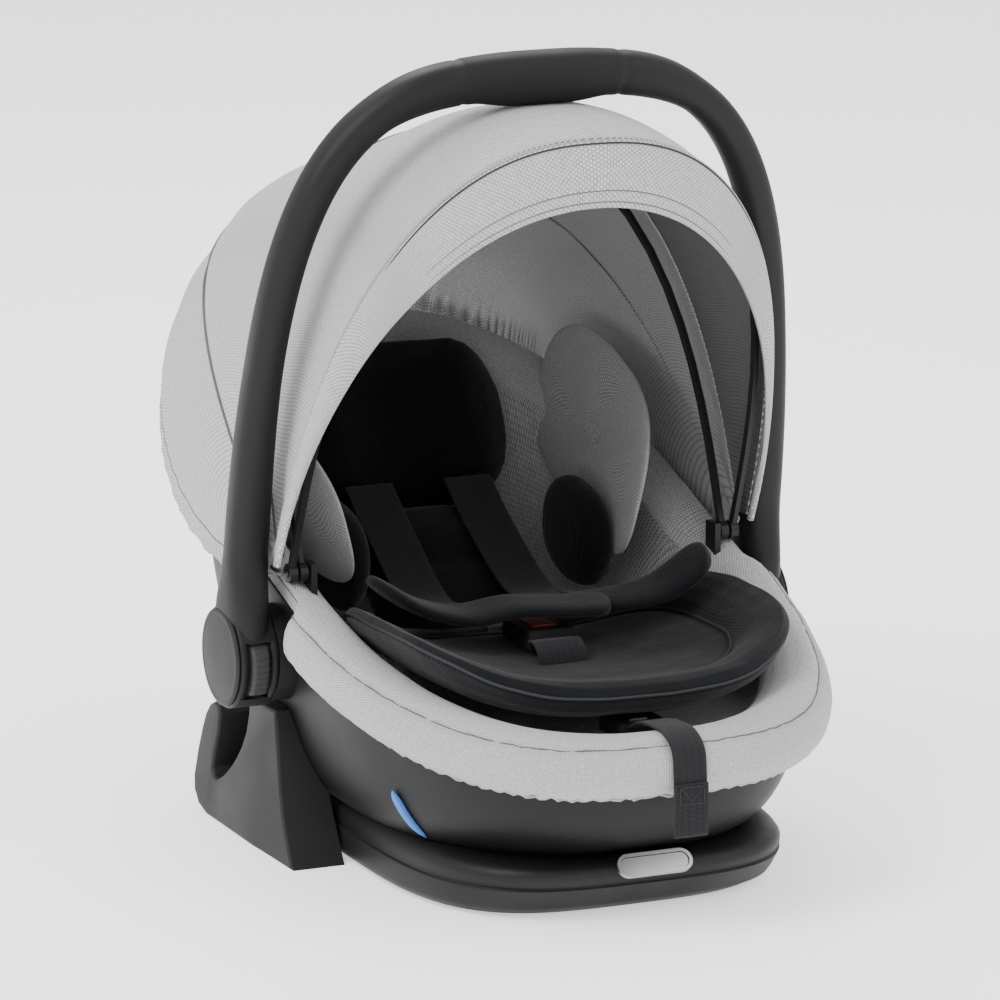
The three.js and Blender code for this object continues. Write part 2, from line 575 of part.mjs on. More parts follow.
add("canopy_mid_bow", bow(MID_LEAN, EYE_X - 8), steel);

// The visor faces forward, from the front bow's seam in to the folded hem.
const VISOR = [[FRONT_LEAN - 0.6, 346, 2.4], [lerp(FRONT_LEAN, HEM_LEAN, 0.5), 327, 2.25], [HEM_LEAN, 305, 2.1]];
const visorFace = (behind) => VISOR.map(([lean, h, n]) => archLine(lean + behind, TIP_HALF, h - 5 * behind, n, 0, 8));
add("canopy_visor", sheet(visorFace(0), visorFace(0.45)), lightFabric);
add("canopy_front_panel", panel(FRONT_LEAN, MID_LEAN, 6), lightFabric);
add("canopy_mid_panel", panel(MID_LEAN + 0.3, REAR_LEAN, 5), lightFabric);

// The rear panel goes on down to a hem that wraps the shell's rim.
const hemLean = (share) => HEM_SIDE_LEAN - (HEM_SIDE_LEAN - END_LEAN) * pow(share, 1.3);
add("canopy_rear_panel", panel(REAR_LEAN + 0.3, END_LEAN, 5, hemLean), lightFabric);

// The bows' eyes turn on a pin that a bracket on the shell's rim holds.
for (const [side, s] of SIDES) {
  const pin = rod(2.9, s * (BRACKET_X + 1), s * (EYE_X + 3.5), PIVOT_Y, PIVOT_Z, 16);
  add("canopy_bracket_" + side, join(bracketBox(s, 0), pin), blackPlastic);
}

// ---------- cushions ----------
// The leg pad is a dished pillow: its sides rise beside the legs and its front lies on the cover's roll.
const LEG_PAD = { y: -116, half: [RIM_HALF - 40, 146, 11], z: 138, side: 50, front: 17 };
const legPad = closed(pillow([0, 0, 0], LEG_PAD.half, 2.5, 6, 28));
const legXyz = legPad.attributes.position;
for (let i = 0; i < legXyz.count; i++) {
  const [x, y] = [legXyz.getX(i), legXyz.getY(i)];
  const rise = LEG_PAD.side * pow(abs(x) / LEG_PAD.half[0], 3) + LEG_PAD.front * pow(max(0, -y / LEG_PAD.half[1]), 2);
  legXyz.setXYZ(i, x, y + LEG_PAD.y, legXyz.getZ(i) + LEG_PAD.z + rise);
}
const STRAP_SLOT_Y = -112;
const slot = box(-WEBBING / 2 - 2, WEBBING / 2 + 2, STRAP_SLOT_Y - 4, STRAP_SLOT_Y + 4, 100, 170);
add("leg_pad", cut(legPad, slot), darkFabric);

const tilted = (half, lean, centre, square) => pillow([0, 0, 0], half, square, 6, 16).rotateX(rad(lean)).translate(...centre);
const BACK_SLOPE = 35;
const WING_X = lerp(FLOOR_HALF, RIM_HALF, 0.8) - 46.4; // on the cover's sloping wall
add("body_cushion", tilted([74, 80, 13], BACK_SLOPE, [0, 92, 162], 3), darkFabric);
add("head_cushion", tilted([98, 66, 18], 65, [0, 212, 252], 3), darkFabric);
for (const [side, s] of SIDES) {
  add("body_bolster_" + side, tilted([16, 46, 36], 12, [s * (WING_X - 21), 80, 194], 2.6), darkFabric);
  add("side_wing_" + side, tilted([8, 80, 38], 22, [s * WING_X, 120, 254], 3.2), lightFabric);
}

// ---------- harness ----------
const BUCKLE = { x: 17, y0: -92, y1: -44, z0: 153, z1: 167 };
const buckleBox = box(-BUCKLE.x, BUCKLE.x, BUCKLE.y0, BUCKLE.y1, BUCKLE.z0, BUCKLE.z1);
const BUCKLE_TRAVEL = 3;
const buttonWell = box(-9 - GAP, 9 + GAP, -80 - GAP, -56 + GAP, BUCKLE.z1 - 4 - BUCKLE_TRAVEL, BUCKLE.z1 + 9);
const tongueSlots = SIDES.map(([, s]) => mirrorX(box(1.5, 12, BUCKLE.y1 - 9, BUCKLE.y1 + 9, 157, 161), s));
add("buckle_body", cut(buckleBox, buttonWell, ...tongueSlots), greyPlastic);
add("buckle_button", box(-9, 9, -80, -56, BUCKLE.z1 - 3, BUCKLE.z1 + 1), finish(0x9c2f2b, 0.5));
add("crotch_strap", strap(
  [v3(0, BUCKLE.y0 - GAP, 160), v3(0, BUCKLE.y0 - 10, 159), v3(0, STRAP_SLOT_Y, 148), v3(0, STRAP_SLOT_Y, 116)],
  WEBBING, WEBBING_THICK,
), darkFabric);
const PAD_W = 50;
const PAD_FAR = RIM_HALF - 52; // outer ends of the shoulder pads
for (const [side, s] of SIDES) {
  const tongue = join(
    mirrorX(box(2, 11.5, BUCKLE.y1 - 8, BUCKLE.y1 + 2, 157.5, 160.5), s),
    mirrorX(box(2, 28, BUCKLE.y1 + 1, BUCKLE.y1 + 12, 157.5, 160.5), s),
  );
  add("buckle_tongue_" + side, tongue, steel);
  const far = s < 0 ? v3(-PAD_FAR, -52, 207) : v3(PAD_FAR, -92, 213);
  add("shoulder_pad_" + side, strap(
    [v3(s * 22, -62, 174), v3(s * 52, -60, 172), v3(s * PAD_FAR * 0.742, (far.y - 60) / 2, 184), far], PAD_W, 9, v3(0, 1, 0),
  ), darkFabric);
  add("harness_strap_" + side, strap(
    [v3(s * 40, 150, 226), v3(s * 40, 108, 198), v3(s * 42, 46, 165), v3(s * 44, 8, 164), v3(s * 44, -26, 163)],
    WEBBING, WEBBING_THICK,
  ), darkFabric);
}
// The adjuster sits on the cover under the front of the leg pad, and its strap hangs over the roll.
add("adjuster_housing", cut(box(-18, 18, -246, -212, 124, 135), box(-7, 7, -238, -222, 129, 140)), greyPlastic);
const ADJUSTER_TRAVEL = 2;
add("adjuster_button", box(-7 + GAP, 7 - GAP, -238 + GAP, -222 - GAP, 129 + GAP + ADJUSTER_TRAVEL, 136), steel);
const ROLL_FRONT = RIM_FRONT - ROLL_OUT;
add("adjuster_strap", strap(
  [
    v3(0, -247, 132), v3(0, -262, 138), v3(0, RIM_FRONT + 14, RIM_FRONT_Z + 16.5), v3(0, RIM_FRONT - 6, RIM_FRONT_Z + 15.5),
    v3(0, ROLL_FRONT - 1, RIM_FRONT_Z + 6), v3(0, ROLL_FRONT - 3, 112), v3(0, ROLL_FRONT - 3, 77),
  ],
  25, 1.8, v3(1, 0, 0), 22,
), darkFabric);
// Behind the shell the harness ends on a steel yoke, and a lever frees the seat from a car base.
const onShellBack = (...sizes) => cut(box(...sizes), tubOutside);
add("harness_yoke", onShellBack(-30, 30, 280, 299, 138, 164), steel);
add("release_lever", onShellBack(-45, 45, 288, 317, 196, 226), greyPlastic);
export default seat;
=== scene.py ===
# An infant car seat: a moulded shell on a foot plate, a swinging carry handle, a folding canopy,
# a padded cover and a harness. Metres, +Z up, the leg end towards -Y, built piece by piece.
from math import acos, asin, copysign, cos, exp, hypot, pi, radians, sin

import bmesh
import bpy
from mathutils import Matrix, Vector, noise


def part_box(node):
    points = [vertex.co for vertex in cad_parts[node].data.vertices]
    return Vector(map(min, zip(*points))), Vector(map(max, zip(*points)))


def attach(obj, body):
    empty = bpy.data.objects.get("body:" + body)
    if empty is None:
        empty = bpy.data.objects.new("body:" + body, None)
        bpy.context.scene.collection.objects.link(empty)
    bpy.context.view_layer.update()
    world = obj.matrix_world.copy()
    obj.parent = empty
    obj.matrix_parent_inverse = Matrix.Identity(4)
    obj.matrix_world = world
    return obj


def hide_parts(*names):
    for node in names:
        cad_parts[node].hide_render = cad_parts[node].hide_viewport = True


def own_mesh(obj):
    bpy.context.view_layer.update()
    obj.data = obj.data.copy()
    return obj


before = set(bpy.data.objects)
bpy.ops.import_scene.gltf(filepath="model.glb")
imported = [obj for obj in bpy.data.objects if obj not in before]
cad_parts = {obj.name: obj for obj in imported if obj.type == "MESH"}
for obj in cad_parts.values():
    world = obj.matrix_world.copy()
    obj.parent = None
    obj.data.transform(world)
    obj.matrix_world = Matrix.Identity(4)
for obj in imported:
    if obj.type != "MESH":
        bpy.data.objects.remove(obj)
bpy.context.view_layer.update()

# ---- Room -------------------------------------------------------------------------------
# A pale studio floor under three soft lights. A long lens stands 4.5 m off the front left
# corner of the seat and looks a little down on it.
floor_mesh = bpy.data.meshes.new("studio_floor")
bm = bmesh.new()
bmesh.ops.create_grid(bm, x_segments=1, y_segments=1, size=30)
bm.to_mesh(floor_mesh)
bm.free()
studio_floor = bpy.data.objects.new("studio_floor", floor_mesh)
bpy.context.collection.objects.link(studio_floor)


def wire(tree, node, **inputs):
    """Fills a shader node's inputs: a socket is linked, anything else is a value. An underscore
    in a name stands for a space."""
    for label, given in inputs.items():
        socket = node.inputs[label.replace("_", " ")]
        if isinstance(given, bpy.types.NodeSocket):
            tree.links.new(given, socket)
        else:
            socket.default_value = given
    return node


def new_material(name, **inputs):
    """A material, its node tree, and its main shader with the given inputs filled."""
    material = bpy.data.materials.new(name)
    material.use_nodes = True
    tree = material.node_tree
    return material, tree, wire(tree, tree.nodes["Principled BSDF"], **inputs)


floor_paint = new_material(
    "floor_paint", Base_Color=(0.98, 0.98, 0.98, 1), Roughness=0.9,
    Emission_Color=(1, 1, 1, 1), Emission_Strength=0.75,
)[0]
floor_mesh.materials.append(floor_paint)

world = bpy.data.worlds.new("studio")
world.use_nodes = True
wire(world.node_tree, world.node_tree.nodes["Background"], Color=(1, 1, 1, 1), Strength=1.35)
bpy.context.scene.world = world

AIM = Vector((0.0005, 0, 0.243))  # the middle of the view


def softbox(name, azimuth, elevation, away, size, power):
    lamp = bpy.data.lights.new(name, "AREA")
    lamp.size = size
    lamp.energy = power
    holder = bpy.data.objects.new(name, lamp)
    bpy.context.collection.objects.link(holder)
    a, e = radians(azimuth), radians(elevation)
    out = Vector((sin(a) * cos(e), -cos(a) * cos(e), sin(e)))
    holder.location = AIM + out * away
    holder.rotation_euler = out.to_track_quat("Z", "Y").to_euler()


softbox("key_light", -75, 48, 3.2, 1.6, 80)
softbox("fill_light", 45, 35, 3.5, 2.2, 30)
softbox("rim_light", 165, 50, 3.2, 1.4, 44)

VIEW_AZIMUTH, VIEW_ELEVATION, VIEW_AWAY = radians(-23.97), radians(12.5), 4.5
camera_data = bpy.data.cameras.new("camera")
camera_data.lens = 223.6
camera = bpy.data.objects.new("camera", camera_data)
bpy.context.collection.objects.link(camera)
towards_lens = Vector((
    sin(VIEW_AZIMUTH) * cos(VIEW_ELEVATION), -cos(VIEW_AZIMUTH) * cos(VIEW_ELEVATION), sin(VIEW_ELEVATION)
))
camera.location = AIM + towards_lens * VIEW_AWAY
camera.rotation_euler = towards_lens.to_track_quat("Z", "Y").to_euler()
bpy.context.scene.camera = camera

# ---- Shell ------------------------------------------------------------------------------
# The bucket is injection-moulded black polypropylene, 3 mm thick, with a fine spark grain.
# A round boss on each side carries the handle. Its rim is an open squared oval.
MM = 0.001
HUB_Z = 148 * MM
RIM_HALF, RIM_FRONT, RIM_REAR = 176 * MM, -296 * MM, 316 * MM
SHELL_WALL = 3 * MM
SHELL_FLOOR_Z = 31 * MM


def lerp(a, b, t):
    return a + (b - a) * t


def smooth(t, a=0.0, b=1.0):
    t = min(1.0, max(0.0, (t - a) / (b - a)))
    return t * t * (3 - 2 * t)


def squared(c, n):
    """The coordinate of a squared circle of exponent n, where a round one has c."""
    return copysign(abs(c) ** (2 / n), c)


def rim_z(y):
    return lerp(124 * MM, 312 * MM, max(0.0, (y - RIM_FRONT) / (RIM_REAR - RIM_FRONT)) ** 1.35)


def tub(level, a, inset, floor_z, n=2.5):
    """A point of the bucket at level 0 (floor) to 1 (rim), at angle a from the front, moved in by inset."""
    spread = sin(level * pi / 2) ** 0.75
    half = lerp(108 * MM, RIM_HALF, spread) - inset
    front = lerp(-175 * MM, RIM_FRONT, spread) + inset
    rear = lerp(70 * MM, RIM_REAR, spread) - inset
    x = half * squared(sin(a), n)
    y = (front + rear) / 2 - (rear - front) / 2 * squared(cos(a), n)
    return Vector((x, y, lerp(floor_z, rim_z(y), 1 - cos(level * pi / 2))))


def mapped(name, columns, rows, place, cloth=(1, 1), weld=0.0):
    """A grid laid on a surface: place(u, v) gives a point for u and v from 0 to 1. Its UV map is in
    metres of cloth, and weld joins the edges that meet."""
    bm = bmesh.new()
    bmesh.ops.create_grid(bm, x_segments=columns, y_segments=rows, size=0.5, calc_uvs=True)
    uv = bm.loops.layers.uv.verify()
    for face in bm.faces:
        face.smooth = True
        for loop in face.loops:
            u, v = loop.vert.co.x + 0.5, loop.vert.co.y + 0.5
            loop[uv].uv = (u * cloth[0], v * cloth[1])
    for vert in bm.verts:
        vert.co = Vector(place(min(1.0, max(0.0, vert.co.x + 0.5)), min(1.0, max(0.0, vert.co.y + 0.5))))
    if weld:
        bmesh.ops.remove_doubles(bm, verts=bm.verts, dist=weld)
    return finished(name, bm)


def finished(name, bm):
    """A scene object from a bmesh, which is freed."""
    bmesh.ops.recalc_face_normals(bm, faces=bm.faces)
    mesh = bpy.data.meshes.new(name)
    bm.to_mesh(mesh)
    bm.free()
    piece = bpy.data.objects.new(name, mesh)
    bpy.context.collection.objects.link(piece)
    for polygon in mesh.polygons:
        polygon.use_smooth = True
    return piece


def thicken(piece, thickness, offset=-1.0):
    wall = piece.modifiers.new("wall", "SOLIDIFY")
    wall.thickness = thickness
    wall.offset = offset
    wall.use_quality_normals = True


def rounded(piece, width, segments):
    edge = piece.modifiers.new("edge", "BEVEL")
    edge.width = width
    edge.segments = segments
    edge.limit_method = "ANGLE"
    edge.angle_limit = radians(40)


def capped(piece):
    """Closes a piece's open ends with flat faces."""
    bm = bmesh.new()
    bm.from_mesh(piece.data)
    bmesh.ops.holes_fill(bm, edges=[e for e in bm.edges if e.is_boundary], sides=400)
    bmesh.ops.recalc_face_normals(bm, faces=bm.faces)
    bm.to_mesh(piece.data)
    bm.free()
    return piece


def subdivided(piece, times=1):
    fine = piece.modifiers.new("fine", "SUBSURF")
    fine.levels = times
    fine.render_levels = times


def group_with(name, inputs, outputs):
    """A shader node group with named inputs and outputs, and its two end nodes."""
    group = bpy.data.node_groups.new(name, "ShaderNodeTree")
    for label, kind, value in inputs:
        made = group.interface.new_socket(label, in_out="INPUT", socket_type=kind)
        if value is not None:
            made.default_value = value
    for label, kind in outputs:
        group.interface.new_socket(label, in_out="OUTPUT", socket_type=kind)
    return group, group.nodes.new("NodeGroupInput"), group.nodes.new("NodeGroupOutput")


def shader(tree, kind, **inputs):
    """A new shader node with its inputs filled."""
    return wire(tree, tree.nodes.new("ShaderNode" + kind), **inputs)


def grouped(tree, group, **inputs):
    """A use of a node group."""
    used = tree.nodes.new("ShaderNodeGroup")
    used.node_tree = group
    return wire(tree, used, **inputs)


def blend(tree, factor, a, b, kind="MIX"):
    """A mix of two colours."""
    mix = tree.nodes.new("ShaderNodeMix")
    mix.data_type = "RGBA"
    mix.blend_type = kind
    return wire(tree, mix, Factor=factor, A=a, B=b).outputs["Result"]


def reckon(tree, operation, first, second=None, third=None):
    """A maths step whose inputs are sockets or plain numbers."""
    step = tree.nodes.new("ShaderNodeMath")
    step.operation = operation
    for index, value in enumerate((first, second, third)):
        if value is None:
            continue
        if isinstance(value, (int, float)):
            step.inputs[index].default_value = value
        else:
            tree.links.new(value, step.inputs[index])
    return step.outputs["Value"]


FLOAT, COLOR = "NodeSocketFloat", "NodeSocketColor"

# The moulding's spark grain: a fine even pitting, a slow drift of its sheen, and a faint
# paler bloom in patches.
moulded, ends_in, ends_out = group_with(
    "moulded_grain",
    [("Tone", COLOR, (0.03, 0.03, 0.03, 1)), ("Roughness", FLOAT, 0.5), ("Grain", FLOAT, 1800.0)],
    [("Color", COLOR), ("Roughness", FLOAT), ("Height", FLOAT)],
)
place = shader(moulded, "TexCoord").outputs["Object"]
pits = shader(moulded, "TexNoise", Scale=ends_in.outputs["Grain"], Detail=3, Vector=place)
drift = shader(moulded, "TexNoise", Scale=14, Detail=5, Vector=place).outputs["Fac"]
sheen_drift = shader(moulded, "MapRange", From_Min=0.3, From_Max=0.7, To_Min=-0.06, To_Max=0.08, Value=drift)
bloom = reckon(moulded, "MULTIPLY", drift, 0.004)
wire(
    moulded, ends_out,
    Color=blend(moulded, bloom, ends_in.outputs["Tone"], (1, 1, 1, 1), "ADD"),
    Roughness=reckon(moulded, "ADD", sheen_drift.outputs["Result"], ends_in.outputs["Roughness"]),
    Height=pits.outputs["Fac"],
)


def plastic(name, tone, roughness, depth=0.00006, grain=1800.0):
    """Moulded plastic: the grain group feeds colour, roughness and a shallow bump."""
    material, tree, bsdf = new_material(name, Specular_IOR_Level=0.22)
    skin = grouped(tree, moulded, Tone=(*tone, 1), Roughness=roughness, Grain=grain)
    bump = shader(tree, "Bump", Strength=0.5, Distance=depth, Height=skin.outputs["Height"])
    wire(
        tree, bsdf, Base_Color=skin.outputs["Color"], Roughness=skin.outputs["Roughness"],
        Normal=bump.outputs["Normal"],
    )
    return material


black_plastic = plastic("black_polypropylene", (0.0052, 0.0053, 0.0057), 0.5)
FLOOR_DISC = 0.14  # the share of the grid that closes the bucket's floor


def shell_point(u, v, grow=0.0):
    """A point of the bucket's outside, moved out by grow."""
    a = 2 * pi * u
    floor_z = SHELL_FLOOR_Z - grow
    if v < FLOOR_DISC:
        return Vector((0, -52 * MM, floor_z)).lerp(tub(0, a, -grow, floor_z), v / FLOOR_DISC)
    return tub((v - FLOOR_DISC) / (1 - FLOOR_DISC), a, -grow, floor_z)


shell_skin = mapped("shell_bucket", 96, 28, shell_point, weld=1e-6)
thicken(shell_skin, SHELL_WALL)
rounded(shell_skin, 1 * MM, 2)
shell_skin.data.materials.append(black_plastic)
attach(shell_skin, "root")
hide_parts("shell")


def drum(name, radius, x0, x1, edge=1.5 * MM):
    """A round piece on the handle's axis, with softened corners."""
    bm = bmesh.new()
    turn = Matrix.Translation(((x0 + x1) / 2, 0, HUB_Z)) @ Matrix.Rotation(pi / 2, 4, "Y")
    bmesh.ops.create_cone(
        bm, cap_ends=True, segments=96, radius1=radius, radius2=radius, depth=abs(x1 - x0), matrix=turn,
    )
    corners = [e for e in bm.edges if e.is_manifold and e.calc_face_angle() > 1]
    bmesh.ops.bevel(bm, geom=corners, offset=edge, affect="EDGES", segments=4, profile=0.5, material=-1)
    return finished(name, bm)


for side, s in (("left", -1), ("right", 1)):
    boss = drum(f"shell_boss_{side}", 35 * MM, s * 158 * MM, s * 186.6 * MM)
    boss.data.materials.append(black_plastic)
    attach(boss, "root")

# ---- Foot plate -------------------------------------------------------------------------
# The plate that the shell stands on is a separate black moulding. A parting lip runs round
# it, its front sweeps up off the floor, and it takes the badge.
plate_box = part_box("base_plate")
PLATE_HALF = plate_box[1][0]
PLATE_REAR = plate_box[1][1]
PLATE_NOSE = plate_box[0][1]
PLATE_H = plate_box[1][2]
# Height, and how far the edge stands in from the widest outline, at the sides and at the nose.
PLATE_PROFILE = (
    (0.0, 30, 46), (0.0, 9, 36), (1.5, 6, 33), (6, 1, 24), (10, 0, 20), (22, 0, 8), (23.5, 0.4, 6.4),
    (24.2, 2.2, 7.4), (25.4, 2.2, 6.4), (30, 2.4, 2.4), (34, 3.4, 0), (38, 6.5, 0.6), (41, 11, 4),
    (42.6, 18, 10), (43, 40, 30), (43, 70, 80),
)


def plate_point(u, v):
    row = v * (len(PLATE_PROFILE) - 1)
    i = min(len(PLATE_PROFILE) - 2, int(row))
    z, side_in, nose_in = (lerp(p, q, row - i) * MM for p, q in zip(PLATE_PROFILE[i], PLATE_PROFILE[i + 1]))
    a = 2 * pi * u
    half = PLATE_HALF - side_in
    front, rear = PLATE_NOSE + nose_in, PLATE_REAR - side_in
    x = half * squared(sin(a), 3.4)
    y = (front + rear) / 2 - (rear - front) / 2 * squared(cos(a), 3.4)
    return Vector((x, y, min(z, PLATE_H)))


plate_rows = (len(PLATE_PROFILE) - 1) * 2
plate_skin = capped(mapped("foot_plate", 160, plate_rows, plate_point, weld=1e-6))
plate_skin.data.materials.append(black_plastic)
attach(plate_skin, "root")
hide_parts("base_plate")

# ---- Side feet --------------------------------------------------------------------------
# Each side foot is a greyer moulding screwed on below the handle's hub. It spreads towards
# the floor, and an open slot behind it takes the belt or a base's hook.
grey_plastic = plastic("grey_polypropylene", (0.011, 0.0112, 0.012), 0.52)
# The foot from the side: along Y and up, in mm, from its front toe round by the slot behind.
FOOT_OUTLINE = (
    (-56, 0), (20, 0), (112, 0), (128, 4), (137, 13), (139, 24), (135, 44), (130, 62), (125, 74),
    (118, 82), (109, 86), (101, 85), (97, 79), (98, 66), (102, 50), (104, 38), (100, 32), (94, 31),
    (82, 37), (70, 46), (60, 56), (52, 66), (46, 78), (42, 92), (40, 106), (16, 106), (-9, 106),
    (-13, 92), (-18, 72), (-25, 52), (-34, 34), (-45, 17),
)
FOOT_HIGH = 106 * MM
FOOT_IN, FOOT_OUT, FOOT_TOP = 146 * MM, 187 * MM, 180 * MM


def clear_of(piece, solid):
    """Cuts the room of a neighbouring solid out of a piece, and removes that solid."""
    tool = piece.modifiers.new("room", "BOOLEAN")
    tool.operation = "DIFFERENCE"
    tool.solver = "EXACT"
    tool.object = solid
    bake(piece)
    bpy.data.objects.remove(solid)


def bake(piece):
    """Applies a piece's modifiers to its mesh."""
    evaluated = piece.evaluated_get(bpy.context.evaluated_depsgraph_get())
    mesh = bpy.data.meshes.new_from_object(evaluated)
    piece.modifiers.clear()
    piece.data = mesh


for side, s in (("left", -1), ("right", 1)):
    bm = bmesh.new()
    outline = [bm.verts.new((s * FOOT_IN, y * MM, z * MM)) for y, z in FOOT_OUTLINE]
    face = bm.faces.new(outline)
    moved = bmesh.ops.extrude_face_region(bm, geom=[face])["geom"]
    for vert in (g for g in moved if isinstance(g, bmesh.types.BMVert)):
        vert.co.x = s * lerp(FOOT_OUT, FOOT_TOP, smooth(vert.co.z, 0, FOOT_HIGH))
    rim_edges = [e for e in bm.edges if all(abs(v.co.x) > FOOT_TOP - 1 * MM for v in e.verts)]
    bmesh.ops.bevel(bm, geom=rim_edges, offset=2.4 * MM, affect="EDGES", segments=4, profile=0.5, material=-1)
    foot = finished(f"side_foot_{side}_body", bm)
    clear_of(foot, capped(mapped("room", 64, 18, lambda u, v: shell_point(u, v, 0.5 * MM), weld=1e-6)))
    clear_of(foot, drum("room", 35.5 * MM, s * 120 * MM, s * 250 * MM))
    clear_of(foot, drum("room", 41 * MM, s * 176 * MM, s * 250 * MM))
    foot.data.set_sharp_from_angle(angle=radians(32))
    foot.data.materials.append(grey_plastic)
    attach(foot, "root")
    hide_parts(f"side_foot_{side}")

# ---- Cloth ------------------------------------------------------------------------------
# The seat wears a pale basket-weave polyester, darker on the threads that pass under and with
# painted shade in the gaps between threads. The insert and the straps are black: a fine rib knit
# over wadding, and flat-woven webbing.
basket, ends_in, ends_out = group_with(
    "basket_weave",
    [("Cloth", "NodeSocketVector", None), ("Pitch", FLOAT, 0.0016), ("Pale", COLOR, (0.6, 0.6, 0.61, 1)),
     ("Deep", COLOR, (0.36, 0.36, 0.37, 1))],
    [("Color", COLOR), ("Height", FLOAT)],
)
parts = shader(basket, "SeparateXYZ", Vector=ends_in.outputs["Cloth"])
across = reckon(basket, "DIVIDE", parts.outputs["X"], ends_in.outputs["Pitch"])
along = reckon(basket, "DIVIDE", parts.outputs["Y"], ends_in.outputs["Pitch"])
warp = reckon(basket, "ABSOLUTE", reckon(basket, "SINE", reckon(basket, "MULTIPLY", across, pi)))
weft = reckon(basket, "ABSOLUTE", reckon(basket, "SINE", reckon(basket, "MULTIPLY", along, pi)))
cell = reckon(basket, "ADD", reckon(basket, "FLOOR", across), reckon(basket, "FLOOR", along))
over = reckon(basket, "FLOORED_MODULO", cell, 2)
under = reckon(basket, "SUBTRACT", 1, over)
warp_over, weft_over = reckon(basket, "MULTIPLY", warp, over), reckon(basket, "MULTIPLY", weft, under)
thread = reckon(basket, "ADD", warp_over, weft_over)
slub = shader(basket, "TexNoise", Scale=260, Detail=3, Vector=ends_in.outputs["Cloth"])
# Painted shade: the colour falls towards the deep tone in the gaps between threads, and is darker on threads
# that pass under.
shade = reckon(basket, "MULTIPLY", thread, reckon(basket, "MULTIPLY_ADD", over, 0.62, 0.3))
shade = reckon(basket, "ADD", shade, reckon(basket, "MULTIPLY_ADD", slub.outputs["Fac"], 0.5, -0.25))
shade = reckon(basket, "MULTIPLY_ADD", shade, 1.15, 0.2)
tint = blend(basket, shade, ends_in.outputs["Deep"], ends_in.outputs["Pale"])
wire(basket, ends_out, Color=tint, Height=thread)


def woven(name, pale, gap_shade, pitch=1.6 * MM, depth=0.0004, sheen=0.15):
    """Basket-woven cloth on a piece's own UV map, with a soft shading drift from handling."""
    material, tree, bsdf = new_material(name, Roughness=0.92, Specular_IOR_Level=0.25, Sheen_Weight=sheen)
    where = shader(tree, "TexCoord").outputs
    cloth = grouped(tree, basket, Cloth=where["UV"], Pitch=pitch, Pale=(*pale, 1), Deep=(*gap_shade, 1))
    handled = shader(tree, "TexNoise", Scale=9, Detail=4, Vector=where["Object"])
    drift = reckon(tree, "MULTIPLY", handled.outputs["Fac"], 0.16)
    bump = shader(tree, "Bump", Strength=0.6, Distance=depth, Height=cloth.outputs["Height"])
    colour = blend(tree, drift, cloth.outputs["Color"], (0.6, 0.6, 0.62, 1), "MULTIPLY")
    wire(tree, bsdf, Base_Color=colour, Normal=bump.outputs["Normal"])
    return material


# The second tone of each weave is the painted shade in its gaps.
pale_weave = woven("pale_weave", (0.60, 0.60, 0.605), (0.10, 0.10, 0.105))
# The lining is partly a darker inner cloth and partly painted shade, darkening inner faces that lie in shade.
lining_and_shade_weave = woven("lining_and_shade_weave", (0.17, 0.17, 0.175), (0.05, 0.05, 0.055), sheen=0.05)
webbing_weave = woven("black_webbing", (0.012, 0.0123, 0.0145), (0.004, 0.004, 0.005), 1.1 * MM, sheen=0.1)

# Black rib knit: rows of tiny stitches over a slow, lumpy swell from the wadding inside.
black_knit, tree, bsdf = new_material(
    "black_knit", Roughness=0.95, Specular_IOR_Level=0.12, Sheen_Weight=0.1, Sheen_Roughness=0.5,
)
place = shader(tree, "TexCoord").outputs["Object"]
ribs = shader(tree, "TexWave", Scale=190, Distortion=1.5, Detail=2, Vector=place).outputs["Fac"]
lumps = shader(tree, "TexNoise", Scale=26, Detail=3, Vector=place).outputs["Fac"]
stitches = shader(tree, "Bump", Strength=0.5, Distance=0.0004, Height=ribs).outputs["Normal"]
wadding = shader(tree, "Bump", Strength=0.5, Distance=0.004, Height=lumps, Normal=stitches)
# Painted shade: the knit is darker in the grooves between its ribs and in the hollows of its swell.
groove_shade = reckon(tree, "MULTIPLY", ribs, lumps)
knit_tone = blend(tree, groove_shade, (0.0026, 0.0028, 0.0036, 1), (0.0075, 0.0082, 0.0105, 1))
wire(tree, bsdf, Base_Color=knit_tone, Normal=wadding.outputs["Normal"])


def sewn_line(name, points, radius, material, body, closed=False, sides=6):
    """A thread, cord or piping: a thin round tube along points."""
    points = [Vector(p) for p in points]
    count = len(points)

    def along_line(u, v):
        i = min(count - 1, int(round(v * (count - 1))))
        ahead = points[(i + 1) % count if closed else min(count - 1, i + 1)]
        behind = points[i - 1 if i or closed else 0]
        run = (ahead - behind).normalized()
        side = run.cross(Vector((0.123, 0.31, 1)).normalized()).normalized()
        lift = run.cross(side)
        return points[i] + (side * cos(2 * pi * u) + lift * sin(2 * pi * u)) * radius

    line = mapped(name, sides, count - 1, along_line, weld=1e-7)
    line.data.materials.append(material)
    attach(line, body)
    return line


def sewn_thread(name, tone):
    """A plain twisted sewing thread."""
    material, tree, bsdf = new_material(name, Roughness=0.8)
    place = shader(tree, "TexCoord").outputs["Object"]
    twist = shader(tree, "TexNoise", Scale=900, Vector=place).outputs["Fac"]
    dark, light = (*(c * 0.6 for c in tone), 1), (*(c * 1.3 for c in tone), 1)
    wire(tree, bsdf, Base_Color=blend(tree, twist, dark, light))
    return material


grey_thread = sewn_thread("grey_thread", (0.10, 0.10, 0.105))
dark_thread = sewn_thread("dark_thread", (0.02, 0.02, 0.021))
black_piping = sewn_thread("black_piping", (0.012, 0.013, 0.016))

# ---- Seat cover -------------------------------------------------------------------------
# The cover is the pale cloth over thin wadding. It lines the bucket, rolls out over the rim
# as a soft bumper, is seamed along the roll, and is drawn in below by an elastic hem.
COVER_IN = 29.8 * MM
COVER_FLOOR = 109 * MM
